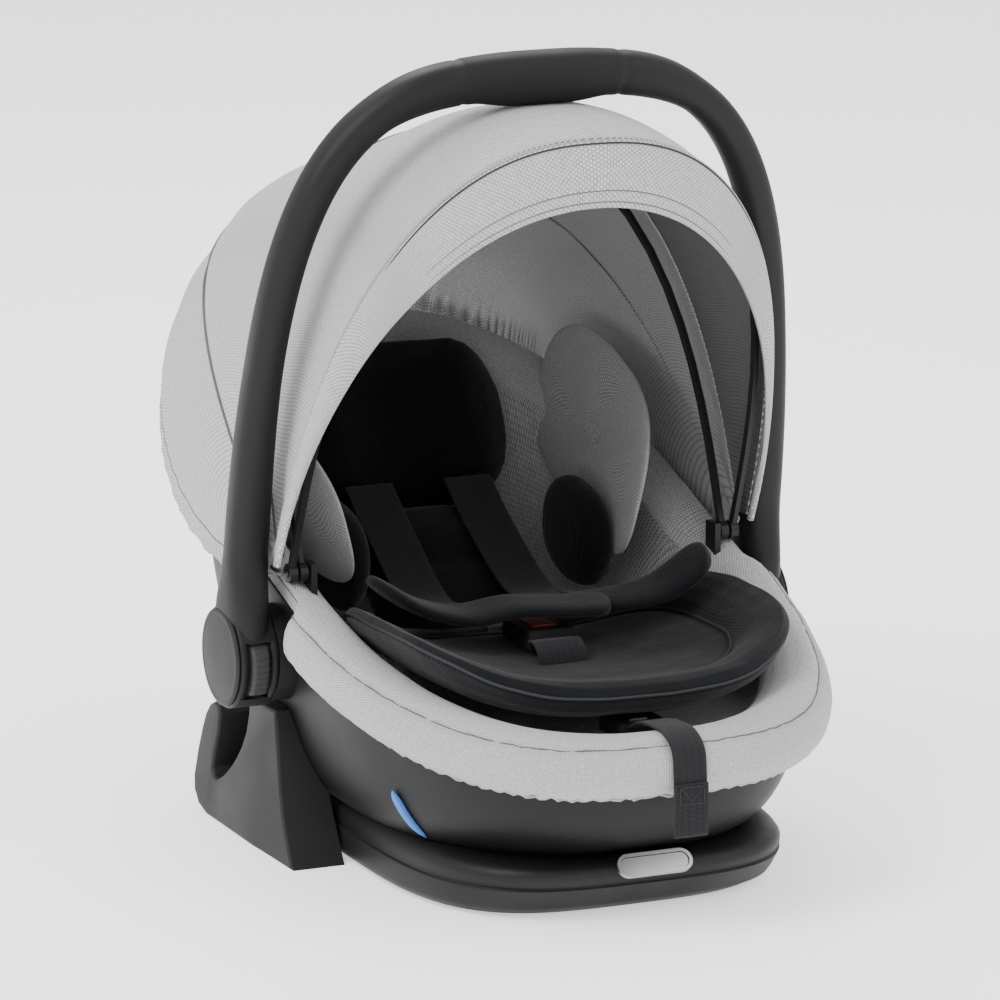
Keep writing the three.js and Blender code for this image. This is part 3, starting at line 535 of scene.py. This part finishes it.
# Out from the rim and up from it: over the roll, and then down to the gathered hem.
ROLL = (
    (-30, 0), (-25, 6.5), (-17, 12.2), (-8, 15.8), (1, 17.0), (8, 15.4), (12.6, 11.6), (16.6, 8.4),
    (20.4, 1.5), (21.8, -6), (20.6, -13.5), (16.6, -20), (11.8, -24), (8.6, -25.6), (5.2, -24.6), (4.2, -19),
)
SEAM_ROW = 6
INNER_SHARE = 0.36  # the share of the grid's rows inside the bucket


def rim_point(a, out, up):
    near = tub(1, a, -out, SHELL_FLOOR_Z)
    if out > 0:
        near = near.lerp(tub(1, a, -out * 0.35, SHELL_FLOOR_Z), smooth(near.y, -0.09, 0.06))
    return near + Vector((0, 0, up))


def roll_point(a, row):
    i = min(len(ROLL) - 2, int(row))
    out, up = (lerp(p, q, row - i) * MM for p, q in zip(ROLL[i], ROLL[i + 1]))
    point = rim_point(a, out, up)
    hem = smooth(row, 8.5, 14)
    slim = 1 - 0.7 * smooth(point.y, -0.06, 0.08)
    wander = 2.2 * noise.noise(Vector((a * 9, 0, 5)))
    ripple = noise.noise(Vector((a * 24, 3.1, 0))) + 0.6 * sin(a * 118 + wander)
    pucker = noise.noise(Vector((a * 46, 9.4, 0)))
    outward = Vector((point.x, point.y + 0.02, 0)).normalized()
    seam = exp(-((row - SEAM_ROW) / 0.8) ** 2)
    point += outward * slim * MM * (3.4 * hem * ripple + 1.4 * (1 - hem) * noise.noise(point * 26))
    point.z += slim * MM * (2.6 * hem * ripple - 1.3 * seam + 0.9 * pucker * smooth(row, 3, 6) * (1 - hem))
    # Beside the hubs the roll is held flat, clear of the handle.
    widest = lerp(230, 174.4, smooth(point.y, -0.075, -0.047)) * MM
    if abs(point.x) > widest:
        point.x = copysign(widest, point.x)
    return point


def cover_point(u, v):
    a = 2 * pi * u
    if v >= INNER_SHARE:
        return roll_point(a, (v - INNER_SHARE) / (1 - INNER_SHARE) * (len(ROLL) - 1))
    level = v / INNER_SHARE
    if level < 0.2:
        edge = tub(0, a, COVER_IN, COVER_FLOOR)
        return Vector((0, -0.052, COVER_FLOOR)).lerp(edge, level / 0.2)
    point = tub((level - 0.2) / 0.8, a, COVER_IN, COVER_FLOOR)
    if level > 0.9:
        point = point.lerp(rim_point(a, -30 * MM, 0), smooth(level, 0.9, 1))
    swell = noise.noise(point * 15) * 3 * MM
    return point + Vector((-point.x, -point.y, 0)).normalized() * swell


cover_skin = mapped("cover_cloth", 420, 84, cover_point, (1.5, 0.34), weld=1e-6)
cover_skin.data.materials.append(pale_weave)
thicken(cover_skin, 1.2 * MM, -1)
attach(cover_skin, "root")
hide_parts("seat_cover")


def front_arc(row, steps=150, reach=0.34, lift=0.0):
    """Points along the roll from one handle hub round the front to the other."""
    points = []
    for i in range(steps + 1):
        a = lerp(-reach, reach, i / steps) * 2 * pi
        points.append(roll_point(a, row) + Vector((0, 0, lift)))
    return points


roll_seam = sewn_line("cover_seam", front_arc(SEAM_ROW, lift=0.1 * MM), 0.5 * MM, grey_thread, "root")
hem_elastic = sewn_line("cover_hem", front_arc(13.2, steps=260), 1.5 * MM, pale_weave, "root")

# ---- Handle -----------------------------------------------------------------------------
# The carry handle is one hollow black moulding, an arch that runs down into a round hub on
# each side. The grip is an over-moulded sleeve, fuller in its middle.
HANDLE_HALF, HANDLE_RISE = 203 * MM, 421 * MM
LEAN_BACK = Matrix.Translation((0, 0, HUB_Z)) @ Matrix.Rotation(radians(9.3), 4, "X")
HUB_IN, HUB_OUT, HUB_R = 187 * MM, 216 * MM, 37.5 * MM
BUTTON_X = 201.5 * MM


def arch_centre(t):
    return Vector((HANDLE_HALF * squared(cos(t), 3.5), 0, HANDLE_RISE * squared(sin(t), 3.5)))


def arch_angle(z):
    return asin((z / HANDLE_RISE) ** 1.75)


def arch_point(t, around, grow=0.0):
    centre = arch_centre(t)
    run = (arch_centre(t + 0.001) - arch_centre(t - 0.001)).normalized()
    out = Vector((run.z, 0, -run.x))
    thick = (lerp(15.5, 13, smooth(sin(t), 0.02, 0.35)) + 3 * smooth(sin(t), 0.9, 1)) * MM + grow
    depth = (15 + 15 * (1 - smooth(centre.z, 0.022, 0.085))) * MM + grow
    side = squared(cos(around), 2.5) * thick
    return LEAN_BACK @ (centre + out * side + Vector((0, squared(sin(around), 2.5) * depth, 0)))


def along_arch(v):
    """The arch angle at v, with the steps spread evenly up the legs and over the top."""
    half = v * 2 if v <= 0.5 else (1 - v) * 2
    climb = half / 0.6
    if climb <= 1:
        t = arch_angle(lerp(20, 396, climb) * MM)
    else:
        t = lerp(arch_angle(396 * MM), pi / 2, (climb - 1) / (2 / 3))
    return t if v <= 0.5 else pi - t


grip_end = acos((62 * MM / HANDLE_HALF) ** 1.75)


def bow_point(u, v):
    t = along_arch(v)
    joint = min(abs(t - grip_end), abs(pi - t - grip_end))
    return arch_point(t, 2 * pi * u, -0.7 * MM * exp(-(joint / 0.007) ** 2))


bow_skin = mapped("handle_arch", 40, 200, bow_point, weld=1e-6)
bow_skin.data.materials.append(black_plastic)
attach(bow_skin, "handle")
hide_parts("handle_bow")

grip_plastic = plastic("grip_rubber", (0.005, 0.005, 0.0055), 0.56, 0.00009, 1300)


def grip_point(u, v):
    t = lerp(grip_end + 0.012, pi - grip_end - 0.012, v)
    fuller = (0.25 + 1.1 * smooth(min(v, 1 - v), 0.02, 0.5)) * MM * smooth(min(v, 1 - v), 0, 0.02)
    point = arch_point(t, 2 * pi * u, fuller)
    under = max(0.0, -cos(2 * pi * u))
    return point - Vector((0, 0, 3.4 * MM * under * smooth(min(v, 1 - v), 0.06, 0.45)))


grip_skin = mapped("grip_sleeve", 40, 60, grip_point, weld=1e-6)
grip_skin.data.materials.append(grip_plastic)
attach(grip_skin, "handle")
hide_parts("handle_grip")

for side, s in (("left", -1), ("right", 1)):
    hub = drum(f"hub_{side}", HUB_R, s * HUB_IN, s * HUB_OUT, edge=2.2 * MM)
    window = drum("room", 28 * MM, s * (HUB_IN - 5 * MM), s * (HUB_OUT - 8 * MM))
    clear_of(hub, window)
    bm = bmesh.new()
    button_room = LEAN_BACK @ Matrix.Translation((s * BUTTON_X, -34 * MM, 0))
    bmesh.ops.create_cube(bm, size=1, matrix=button_room @ Matrix.Diagonal((17.8 * MM, 38 * MM, 42.8 * MM, 1)))
    clear_of(hub, finished("room", bm))
    hub.data.materials.append(black_plastic)
    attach(hub, "handle")
    # The cap is a thin, slightly domed disc, set in the hub with a shadow line round it.
    bm = bmesh.new()
    profile = (
        (33.6, 0), (35.4, 0.3), (35.5, 1.4), (34.8, 2.6), (33.2, 3.3), (31.6, 3.5), (31.0, 3.3), (29.8, 3.4),
        (18, 4.2), (0, 4.6),
    )
    ring = [bm.verts.new((s * (HUB_OUT + 0.4 * MM + h * MM * 0.82), 0, HUB_Z + r * MM)) for r, h in profile]
    edges = [bm.edges.new(pair) for pair in zip(ring, ring[1:])]
    bmesh.ops.spin(
        bm, geom=ring + edges, cent=(0, 0, HUB_Z), axis=(1, 0, 0), angle=2 * pi, steps=72, use_merge=True,
    )
    bmesh.ops.remove_doubles(bm, verts=bm.verts, dist=1e-6)
    cap = finished(f"hub_disc_{side}", bm)
    cap.data.materials.append(grey_plastic)
    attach(cap, "handle")
    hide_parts(f"hub_cap_{side}")

# ---- Hub buttons ------------------------------------------------------------------------
# A grey thumb button stands in the front rim of each hub, ribbed across for grip. Pressing
# both frees the handle.
button_plastic = plastic("button_plastic", (0.028, 0.0285, 0.03), 0.45)
for side, s in (("left", -1), ("right", 1)):
    def pad_point(u, v, s=s):
        across_pad = lerp(-1, 1, u)
        height = lerp(-1, 1, v)
        rounded_off = (1 - abs(across_pad) ** 6) * (1 - abs(height) ** 8)
        fade = smooth(1 - abs(height), 0.08, 0.2) * smooth(1 - abs(across_pad), 0.05, 0.2)
        ribs_on_pad = 0.85 * abs(sin(v * pi * 9)) * fade
        z = height * 20.8 * MM
        reach = (38.2 * rounded_off ** 0.15 + 1.4 * rounded_off + ribs_on_pad) * MM
        y = -(max(0.0, reach ** 2 - z ** 2)) ** 0.5 if rounded_off > 0 else -33 * MM * cos(height * 0.55)
        return LEAN_BACK @ Vector((s * BUTTON_X + across_pad * 8.3 * MM, y, z))

    pad = mapped(f"button_pad_{side}", 28, 120, pad_point)
    bm = bmesh.new()
    bm.from_mesh(pad.data)
    rim_loop = [e for e in bm.edges if e.is_boundary]
    sunk = bmesh.ops.extrude_edge_only(bm, edges=rim_loop)["geom"]
    inward = LEAN_BACK.to_3x3() @ Vector((0, 3 * MM, 0))
    bmesh.ops.translate(bm, verts=[g for g in sunk if isinstance(g, bmesh.types.BMVert)], vec=inward)
    bmesh.ops.recalc_face_normals(bm, faces=bm.faces)
    bm.to_mesh(pad.data)
    bm.free()
    pad.data.materials.append(button_plastic)
    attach(pad, f"button_{side}")
    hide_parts(f"handle_button_{side}")

# ---- Canopy -----------------------------------------------------------------------------
# Pale cloth is stretched over two steel bows that swing on one line. A deep visor folds back
# at the front, and the rear panel is drawn in by elastic behind the head.
PIVOT_Y, PIVOT_Z = -27 * MM, 211 * MM
PIVOT = Vector((0, PIVOT_Y, PIVOT_Z))
CANOPY_HALF, TIP_HALF = 182 * MM, 187 * MM
FRONT_LEAN = -22.3
# The canopy's lean in degrees and its height there in mm.
HEIGHTS = (
    (FRONT_LEAN, 346), (-4.6, 333), (12.9, 314), (21.7, 311), (45.2, 348), (55.4, 354), (72.9, 386), (120, 386),
)


def height_at(lean):
    lean = max(lean, FRONT_LEAN)
    for (a, p), (b, q) in zip(HEIGHTS, HEIGHTS[1:]):
        if lean <= b:
            return lerp(p, q, (lean - a) / (b - a)) * MM
    return HEIGHTS[-1][1] * MM


def on_arch(x, height, lean):
    return Vector((x, PIVOT_Y + height * sin(radians(lean)), PIVOT_Z + height * cos(radians(lean))))


def arch_at(lean, u, half, height, n, foot=12 * MM, inset=0.0):
    """A point of a canopy arch, u from 0 at the left foot to 1 at the right one."""
    low = asin((foot / height) ** (n / 2))
    a = lerp(pi - low, low, u)
    return on_arch((half - inset) * squared(cos(a), n), (height - inset) * squared(sin(a), n), lean)


def skin_at(lean, u, inset=0.0):
    half = lerp(TIP_HALF - 2 * MM, CANOPY_HALF, smooth(lean, FRONT_LEAN, 0))
    return arch_at(lean, u, half, height_at(lean), lerp(2.4, 3.7, smooth(lean, 0, 70)), inset=inset)


def evened(u):
    """Shares the steps between an arch's steep sides and its flat top."""
    return u + 0.055 * sin(4 * pi * u)


def taut(lean, u, start, end):
    """The canopy's skin between two seams: hollow between them, with drag lines from each bow."""
    u = evened(u)
    share = (lean - start) / (end - start)
    sag = sin(pi * min(1, max(0, share)))
    point = skin_at(lean, u)
    drag = 2.6 * noise.noise(Vector((u * 7, share * 1.3, start * 0.1)))
    drag += 0.8 * noise.noise(Vector((u * 26, share * 2, 4)))
    feet = smooth(abs(u - 0.5), 0.34, 0.5)
    inward = (PIVOT - point).normalized()
    return point + inward * MM * sag * (1.5 + drag * (1 + feet) - 1.2 * feet)


def canopy_panel(name, start, end, columns, rows, body, length):
    panel = mapped(name, columns, rows, lambda u, v: taut(lerp(start, end, v), u, start, end), (0.86, length))
    panel.data.materials.append(pale_weave)
    # The front panel's inner side takes the lining: partly darker cloth, partly painted shade.
    panel.data.materials.append(lining_and_shade_weave if body == "canopy_front" else pale_weave)
    thicken(panel, 1.4 * MM, -1)
    panel.modifiers["wall"].material_offset = 1
    panel.modifiers["wall"].material_offset_rim = 0
    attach(panel, body)
    return panel


front_panel = canopy_panel("canopy_front_cloth", -22.3, 17.9, 150, 46, "canopy_front", 0.235)
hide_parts("canopy_front_panel")
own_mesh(front_panel)
mid_panel = canopy_panel("canopy_mid_cloth", 18.4, 50, 150, 36, "canopy_mid", 0.19)
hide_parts("canopy_mid_panel")
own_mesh(mid_panel)

REAR_START, HEM_SIDE, HEM_BACK = 50.4, 108, 73


def rear_lean(u, v):
    """The rear panel's lean: it runs down to a hem that is higher behind the head."""
    point = skin_at(HEM_BACK, evened(u))
    share = min(1, hypot(point.y - PIVOT_Y, point.z - PIVOT_Z) / height_at(HEM_BACK))
    hem = HEM_SIDE - (HEM_SIDE - HEM_BACK) * share ** 1.3
    return lerp(REAR_START, hem, v)


def rear_point(u, v):
    lean = rear_lean(u, v)
    point = skin_at(lean, evened(u))
    inward = (PIVOT - point).normalized()
    hem = smooth(v, 0.72, 1)
    gather = sin(u * 400 + 3 * noise.noise(Vector((u * 20, 0, 0))))
    gather *= 0.6 + 0.5 * noise.noise(Vector((u * 61, 2, 0)))
    swell = 5 * sin(pi * min(1, v * 1.15)) - 2 * noise.noise(Vector((u * 9, v * 3, 8)))
    drawn = inward * MM * (-swell * (1 - hem) + 4.4 * hem * gather + 7 * hem * smooth(v, 0.9, 1))
    return point + drawn


rear_panel = mapped("canopy_rear_cloth", 440, 56, rear_point, (0.86, 0.2))
rear_panel.data.materials.append(pale_weave)
rear_panel.data.materials.append(pale_weave)
thicken(rear_panel, 1.4 * MM, -1)
rear_panel.modifiers["wall"].material_offset = 1
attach(rear_panel, "root")
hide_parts("canopy_rear_panel")

# The visor turns in from the front bow to a folded hem, with two rows of stitching.
VISOR = ((-22.9, 346, 2.4), (-24.45, 327, 2.25), (-26.6, 305, 2.1))


def visor_point(u, v, proud=0.0):
    i = min(1, int(v * 2))
    lean, height, n = (lerp(p, q, v * 2 - i) for p, q in zip(VISOR[i], VISOR[i + 1]))
    u = evened(u)
    point = arch_at(lean - proud, u, TIP_HALF, height * MM, n, foot=8 * MM)
    bow = sin(pi * v) * 3 * MM
    wave = noise.noise(Vector((u * 12, v * 1.5, 6))) * 1.2 * MM * v
    return point + Vector((0, -bow + wave, 0))


visor = mapped("canopy_visor_cloth", 170, 20, visor_point, (0.9, 0.045))
# The visor's inner side takes the lining: partly darker cloth, partly painted shade.
visor.data.materials.append(lining_and_shade_weave)
visor.data.materials.append(pale_weave)
thicken(visor, 2.2 * MM, -1)
visor.modifiers["wall"].material_offset = 1
visor.modifiers["wall"].material_offset_rim = 1
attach(visor, "canopy_front")
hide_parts("canopy_visor")


def canopy_line(name, at, radius, material, body, steps=180, ends=0.004):
    points = [at(lerp(ends, 1 - ends, i / steps)) for i in range(steps + 1)]
    line = sewn_line(name, points, radius, material, body)
    return line


canopy_line("visor_seam", lambda u: visor_point(u, 0.0, 0.5), 0.8 * MM, dark_thread, "canopy_front")
PIPING_IN = Vector((0, 3.5 * MM, 0))
canopy_line("visor_piping", lambda u: visor_point(u, 0.02) + PIPING_IN, 1.7 * MM, pale_weave, "canopy_front")
for row, v in (("outer", 0.74), ("inner", 0.9)):
    canopy_line(
        f"visor_stitch_{row}", lambda u, v=v: visor_point(u, v, 0.44), 0.4 * MM, grey_thread, "canopy_front",
    )
canopy_line("canopy_seam_mid", lambda u: taut(18.1, u, 18, 50), 1.1 * MM, grey_thread, "canopy_mid")
canopy_line("canopy_seam_rear", lambda u: rear_point(u, 0.0), 1.2 * MM, grey_thread, "root")
canopy_line("canopy_seam_hem", lambda u: rear_point(u, 0.8), 0.5 * MM, grey_thread, "root", 300)

# ---- Side wings -------------------------------------------------------------------------
# Beside the head the pale lining swells into two soft wings, each with one seam up its face.
for side, s in (("left", -1), ("right", 1)):
    def wing_point(u, v, s=s):
        around = 2 * pi * u
        face = sin(pi * (v - 0.5))
        out = cos(pi * (v - 0.5)) ** 0.8
        y = 112 + 104 * out * squared(cos(around), 3)
        z = 258 + 60 * out * squared(sin(around), 3) + (y - 118) * 0.28
        seam = exp(-((y - 120 - 0.2 * (z - 250)) / 2.5) ** 2)
        x = 135 + 8 * face + 0.25 * (z - 258) - 0.0011 * (y - 112) ** 2 + 1.2 * seam * (face < 0)
        return Vector((s * x, y, z)) * MM

    wing = mapped(f"side_wing_{side}_cloth", 80, 28, wing_point, (0.5, 0.16), weld=1e-5)
    subdivided(wing)
    wing.data.materials.append(pale_weave)
    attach(wing, "root")
    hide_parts(f"side_wing_{side}")

# ---- Cushions ---------------------------------------------------------------------------
# The black insert is knit sewn round polyester wadding: a head hugger, a back cushion and a
# bolster at each side. They are filled after sewing, so their seams pull the faces in.


def stuffed(piece, fill_push=4.0, most=5 * MM, voxel=5 * MM):
    """Blows a sewn cushion out against its own cloth, and smooths it."""
    remesh = piece.modifiers.new("remesh", "REMESH")
    remesh.mode = "VOXEL"
    remesh.voxel_size = voxel
    bake(piece)
    flat = [vert.co.copy() for vert in piece.data.vertices]
    cloth = piece.modifiers.new("cloth", "CLOTH")
    cloth.settings.quality = 4
    cloth.settings.mass = 0.2
    cloth.settings.use_pressure = True
    cloth.settings.uniform_pressure_force = fill_push
    cloth.settings.tension_stiffness = 12
    cloth.settings.compression_stiffness = 12
    cloth.settings.bending_stiffness = 0.6
    cloth.settings.effector_weights.gravity = 0
    cloth.point_cache.frame_start = 1
    cloth.point_cache.frame_end = 20
    for frame_number in range(1, 21):
        bpy.context.scene.frame_set(frame_number)
    bake(piece)
    for vert, start in zip(piece.data.vertices, flat):
        move = vert.co - start
        if move.length > most:
            vert.co = start + move.normalized() * most
    bpy.context.scene.frame_set(1)
    for polygon in piece.data.polygons:
        polygon.use_smooth = True
    subdivided(piece)


def cushion(name, half, lean, centre, n, dent=None):
    """A flat squared pillow that leans back, with an optional dent function of its face."""
    turn = Matrix.Translation(Vector(centre) * MM) @ Matrix.Rotation(radians(lean), 4, "X")

    def pillow_point(u, v):
        around, face = 2 * pi * u, pi * (v - 0.5)
        out = max(0.0, cos(face)) ** (2 / n)
        x = half[0] * out * squared(cos(around), n)
        y = half[1] * out * squared(sin(around), n)
        z = half[2] * squared(sin(face), n)
        if dent:
            x, y, z = dent(x, y, z)
        return turn @ (Vector((x, y, z)) * MM)

    return mapped(name, 48, 24, pillow_point, weld=1e-6)


def hugger_shape(x, y, z):
    """The head hugger: two full lobes beside a hollow for the head."""
    lobe = exp(-((abs(x) - 62) / 26) ** 2)
    return x, y, z + (16 * lobe if z > 0 else 0) - (6 * exp(-(x / 26) ** 2) if z > 0 else 0)


def back_shape(x, y, z):
    return x, y, z - (3.5 * exp(-((y - 8) / 7) ** 2) if z > 0 else 0)


PADS = (
    ("head_hugger", "head_cushion", (99, 72, 16), 65, (0, 214, 256), 2.6, hugger_shape),
    ("back_cushion", "body_cushion", (72, 78, 12), 35, (0, 92, 162), 2.8, back_shape),
    ("bolster_left", "body_bolster_left", (17, 48, 39), 12, (-97, 76, 196), 2.3, None),
    ("bolster_right", "body_bolster_right", (17, 48, 39), 12, (97, 76, 196), 2.3, None),
)
for name, solid, half, lean, centre, n, dent in PADS:
    pad = cushion(name, half, lean, centre, n, dent)
    stuffed(pad)
    pad.data.materials.clear()
    pad.data.materials.append(black_knit)
    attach(pad, "root")
    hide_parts(solid)

# ---- Leg pad ----------------------------------------------------------------------------
# The leg pad is a dished horseshoe of the same knit. Piping parts its hollow from a thick
# raised border, and the crotch strap comes up through a slot.
PAD_Y, PAD_Z = -116 * MM, 138 * MM


def pad_lift(x, y):
    return 48 * MM * (abs(x) / (147 * MM)) ** 3 + 17 * MM * max(0.0, -(y - PAD_Y) / (146 * MM)) ** 2


def leg_pad_point(u, v):
    """v runs from under the middle, round the border, to the hollow's middle."""
    around = 2 * pi * u
    profile = (
        (0, -10), (0.5, -10.5), (0.86, -10), (0.95, -6), (0.995, 0), (1.0, 5), (0.975, 11), (0.92, 15),
        (0.85, 16.5), (0.79, 14.5), (0.755, 10.5), (0.74, 9.5), (0.70, 10.5), (0.6, 11), (0.35, 9.5), (0, 9),
    )
    row = v * (len(profile) - 1)
    i = min(len(profile) - 2, int(row))
    out, up = (lerp(p, q, row - i) for p, q in zip(profile[i], profile[i + 1]))
    x = 147 * MM * out * squared(sin(around), 2.8)
    y = PAD_Y - 144 * MM * out * squared(cos(around), 2.8)
    swell = noise.noise(Vector((x * 30, y * 30, up * 0.1))) * 1.3
    back = smooth(y, -0.05, 0.03)
    z = PAD_Z + (up * (1 - 0.45 * back * (up > 0)) + swell) * MM + pad_lift(x, y)
    return Vector((x, y, z))


leg_pad_skin = mapped("leg_pad_knit", 150, 60, leg_pad_point, weld=1e-6)
subdivided(leg_pad_skin)
leg_pad_skin.data.materials.append(black_knit)
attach(leg_pad_skin, "root")
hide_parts("leg_pad")


def pad_ring(v, lift):
    return [leg_pad_point(i / 160, v) + Vector((0, 0, lift)) for i in range(161)]


for edge_name, row, lift, radius in (("piping", 10.7, 1.2, 1.3), ("edge", 4.6, 0, 1.2)):
    ring = pad_ring(row / 15, lift * MM)
    piping = sewn_line(f"leg_pad_{edge_name}", ring, radius * MM, black_piping, "root", closed=True)

# ---- Harness ----------------------------------------------------------------------------
# Flat-woven black webbing holds the child, with a padded sleeve on each shoulder strap. The
# sleeves lie open over the leg pad, to either side of the buckle.


def curve_through(points, t):
    """A point on a smooth curve through points, t from 0 to 1."""
    spans = len(points) - 1
    i = min(spans - 1, int(t * spans))
    f = t * spans - i
    p0, p1, p2, p3 = (points[min(spans, max(0, k))] for k in (i - 1, i, i + 1, i + 2))
    square, cube = 2 * p0 - 5 * p1 + 4 * p2 - p3, 3 * p1 - p0 - 3 * p2 + p3
    return 0.5 * (2 * p1 + (p2 - p0) * f + square * f * f + cube * f ** 3)


def ribbon(name, points, width, thick, across, body, material, columns=14, rows=90, pointed=False):
    """A flat band along a curve, closed all round, its ends rounded when it is a pad."""
    points = [Vector(p) * MM for p in points]
    across = Vector(across)
    length = sum((a - b).length for a, b in zip(points, points[1:]))

    def band_point(u, v):
        here = curve_through(points, v)
        run = (curve_through(points, min(1, v + 0.01)) - curve_through(points, max(0, v - 0.01))).normalized()
        side = (across - run * across.dot(run)).normalized()
        lift = run.cross(side)
        around = 2 * pi * u
        taper = 1.0
        if pointed:
            near_end = min(v / 0.09, (1 - v) / 0.16)
            taper = max(0.02, 1 - max(0, 1 - near_end) ** 2) ** 0.5
        n = 2.6 if pointed else 8
        w = squared(cos(around), n) * width * 0.5 * MM * taper
        h = squared(sin(around), n) * thick * 0.5 * MM * (taper ** 0.5)
        return here + side * w + lift * h

    band = capped(mapped(name, columns * 2, rows, band_point, (width * 2 * MM, length), weld=1e-6))
    band.data.materials.append(material)
    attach(band, body)
    return band


for side, s, far in (("left", -1, (-124, -52, 207)), ("right", 1, (124, -92, 213))):
    start = [(46, -92, 182), (14, -82, 181), (-20, -70, 181)] if s < 0 else [(30, -60, 177)]
    path = [*start, (s * 56, -60, 176), (s * 92, (far[1] - 60) / 2, 186), far]
    sleeve = ribbon(f"shoulder_sleeve_{side}", path, 50, 11, (0, 1, 0), "root", black_knit, 22, pointed=True)
    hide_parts(f"shoulder_pad_{side}")
    strap_path = [
        (s * 40, 150, 227), (s * 40, 108, 199), (s * 42, 46, 166), (s * 44, 8, 165), (s * 44, -26, 164),
    ]
    strap_band = ribbon(f"shoulder_webbing_{side}", strap_path, 38, 1.8, (1, 0, 0), "root", webbing_weave)
    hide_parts(f"harness_strap_{side}")

CROTCH = [(0, -92.4, 160), (0, -102, 160), (0, -112, 149), (0, -112, 116)]
crotch = ribbon("crotch_webbing", CROTCH, 38, 1.8, (1, 0, 0), "root", webbing_weave)
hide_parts("crotch_strap")

# The adjuster's tail hangs over the front of the roll. It ends in a folded loop, sewn
# across by a small box of thread.
TAIL = [
    (0, -247, 133), (0, -262, 140), (0, -282, 142.5), (0, -302, 142), (0, -317, 133), (0, -321, 114),
    (0, -321, 77),
]
tail = ribbon("adjuster_tail", TAIL, 25, 1.9, (1, 0, 0), "root", webbing_weave, rows=120)
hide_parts("adjuster_strap")
LOOP = [(0, -323.2, 110), (0, -323.6, 94), (0, -323.4, 76), (0, -322.6, 73)]
loop_end = ribbon("adjuster_loop", LOOP, 25.4, 1.6, (1, 0, 0), "root", webbing_weave)
box_stitch = [(-9, 108), (9, 108), (0, 98), (-9, 108), (-9, 96), (9, 96), (9, 108)]
stitched = []
for (x0, z0), (x1, z1) in zip(box_stitch, box_stitch[1:]):
    stitched += [Vector((lerp(x0, x1, k / 10), -324.4, lerp(z0, z1, k / 10))) * MM for k in range(10)]
box_thread = sewn_line("adjuster_stitch", stitched, 0.4 * MM, black_piping, "root")

# ---- Metal and small fittings -----------------------------------------------------------
# The pivots, screws and tongues are zinc-plated steel, the bows and brackets are coated
# black, the belt guides are blue mouldings, and the liner is white bead foam.
metal, tree, bsdf = new_material("plated_steel", Metallic=1)
place = shader(tree, "TexCoord").outputs["Object"]
stretch = shader(tree, "Mapping", Scale=(1, 9, 9), Vector=place).outputs["Vector"]
brushing = shader(tree, "TexNoise", Scale=260, Detail=6, Vector=stretch).outputs["Fac"]
wire(
    tree, bsdf, Roughness=reckon(tree, "MULTIPLY_ADD", brushing, 0.3, 0.2),
    Base_Color=blend(tree, brushing, (0.34, 0.34, 0.35, 1), (0.50, 0.50, 0.51, 1)),
)

badge_metal = metal.copy()
badge_metal.name = "badge_metal"
badge_metal.node_tree.nodes["Mapping"].inputs["Scale"].default_value = (0.6, 14, 14)

bead_foam, tree, bsdf = new_material("bead_foam", Roughness=0.85)
place = shader(tree, "TexCoord").outputs["Object"]
beads = shader(tree, "TexVoronoi", Scale=330, Vector=place).outputs["Distance"]
wire(
    tree, bsdf, Base_Color=blend(tree, beads, (0.82, 0.82, 0.81, 1), (0.62, 0.62, 0.61, 1)),
    Normal=shader(tree, "Bump", Strength=0.5, Distance=0.0004, Height=beads).outputs["Normal"],
)

black_coat = plastic("black_coat", (0.008, 0.008, 0.009), 0.38, 0.00003, 2600)
red_plastic = plastic("red_plastic", (0.30, 0.028, 0.022), 0.4)
blue_plastic = plastic("blue_plastic", (0.055, 0.17, 0.50), 0.45)
FITTINGS = {
    metal: (
        "foot_screw", "pivot_bolt", "lock_ring", "lock_spring", "buckle_tongue", "adjuster_button",
        "harness_yoke",
    ),
    badge_metal: ("badge",),
    bead_foam: ("foam_liner",),
    black_coat: ("canopy_bracket", "canopy_front_bow", "canopy_mid_bow"),
    red_plastic: ("buckle_button",),
    grey_plastic: ("lock_disc", "buckle_body", "adjuster_housing", "release_lever"),
    blue_plastic: ("belt_guide",),
}
for finish_used, starts in FITTINGS.items():
    for node_name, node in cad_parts.items():
        if node_name.startswith(starts) and node.material_slots:
            for material_slot in node.material_slots:
                material_slot.material = finish_used

# ---- Belt guides ------------------------------------------------------------------------
# Each guide shows as a slim blue blade, curved to the bucket's side, where the lap belt runs.
for side, s in (("left", -1), ("right", 1)):
    def blade_point(u, v, s=s):
        around = 2 * pi * u
        z = lerp(45, 81, v) * MM
        end = max(0.05, 1 - abs(2 * v - 1) ** 5)
        y = (-159.5 + squared(cos(around), 4) * 3.2 * end + 5 * (v - 0.5)) * MM
        low, high = 0.0, 1.0
        for _ in range(24):
            middle = (low + high) / 2
            below = tub(middle, wall_angle(middle, y), 0, SHELL_FLOOR_Z).z < z
            low, high = (middle, high) if below else (low, middle)
        wall = tub(low, wall_angle(low, y), 0, SHELL_FLOOR_Z)
        return Vector((s * (abs(wall.x) + (2.4 + squared(sin(around), 4) * 2.3 * end) * MM), y, z))

    def wall_angle(level, y):
        """The angle at which the bucket's ring at a level reaches y."""
        near, far = 0.0, pi
        for _ in range(24):
            middle = (near + far) / 2
            near, far = (middle, far) if tub(level, middle, 0, SHELL_FLOOR_Z).y < y else (near, middle)
        return near

    blade = capped(mapped(f"belt_blade_{side}", 24, 30, blade_point, weld=1e-6))
    blade.data.materials.append(blue_plastic)
    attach(blade, "root")
    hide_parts(f"belt_guide_{side}")
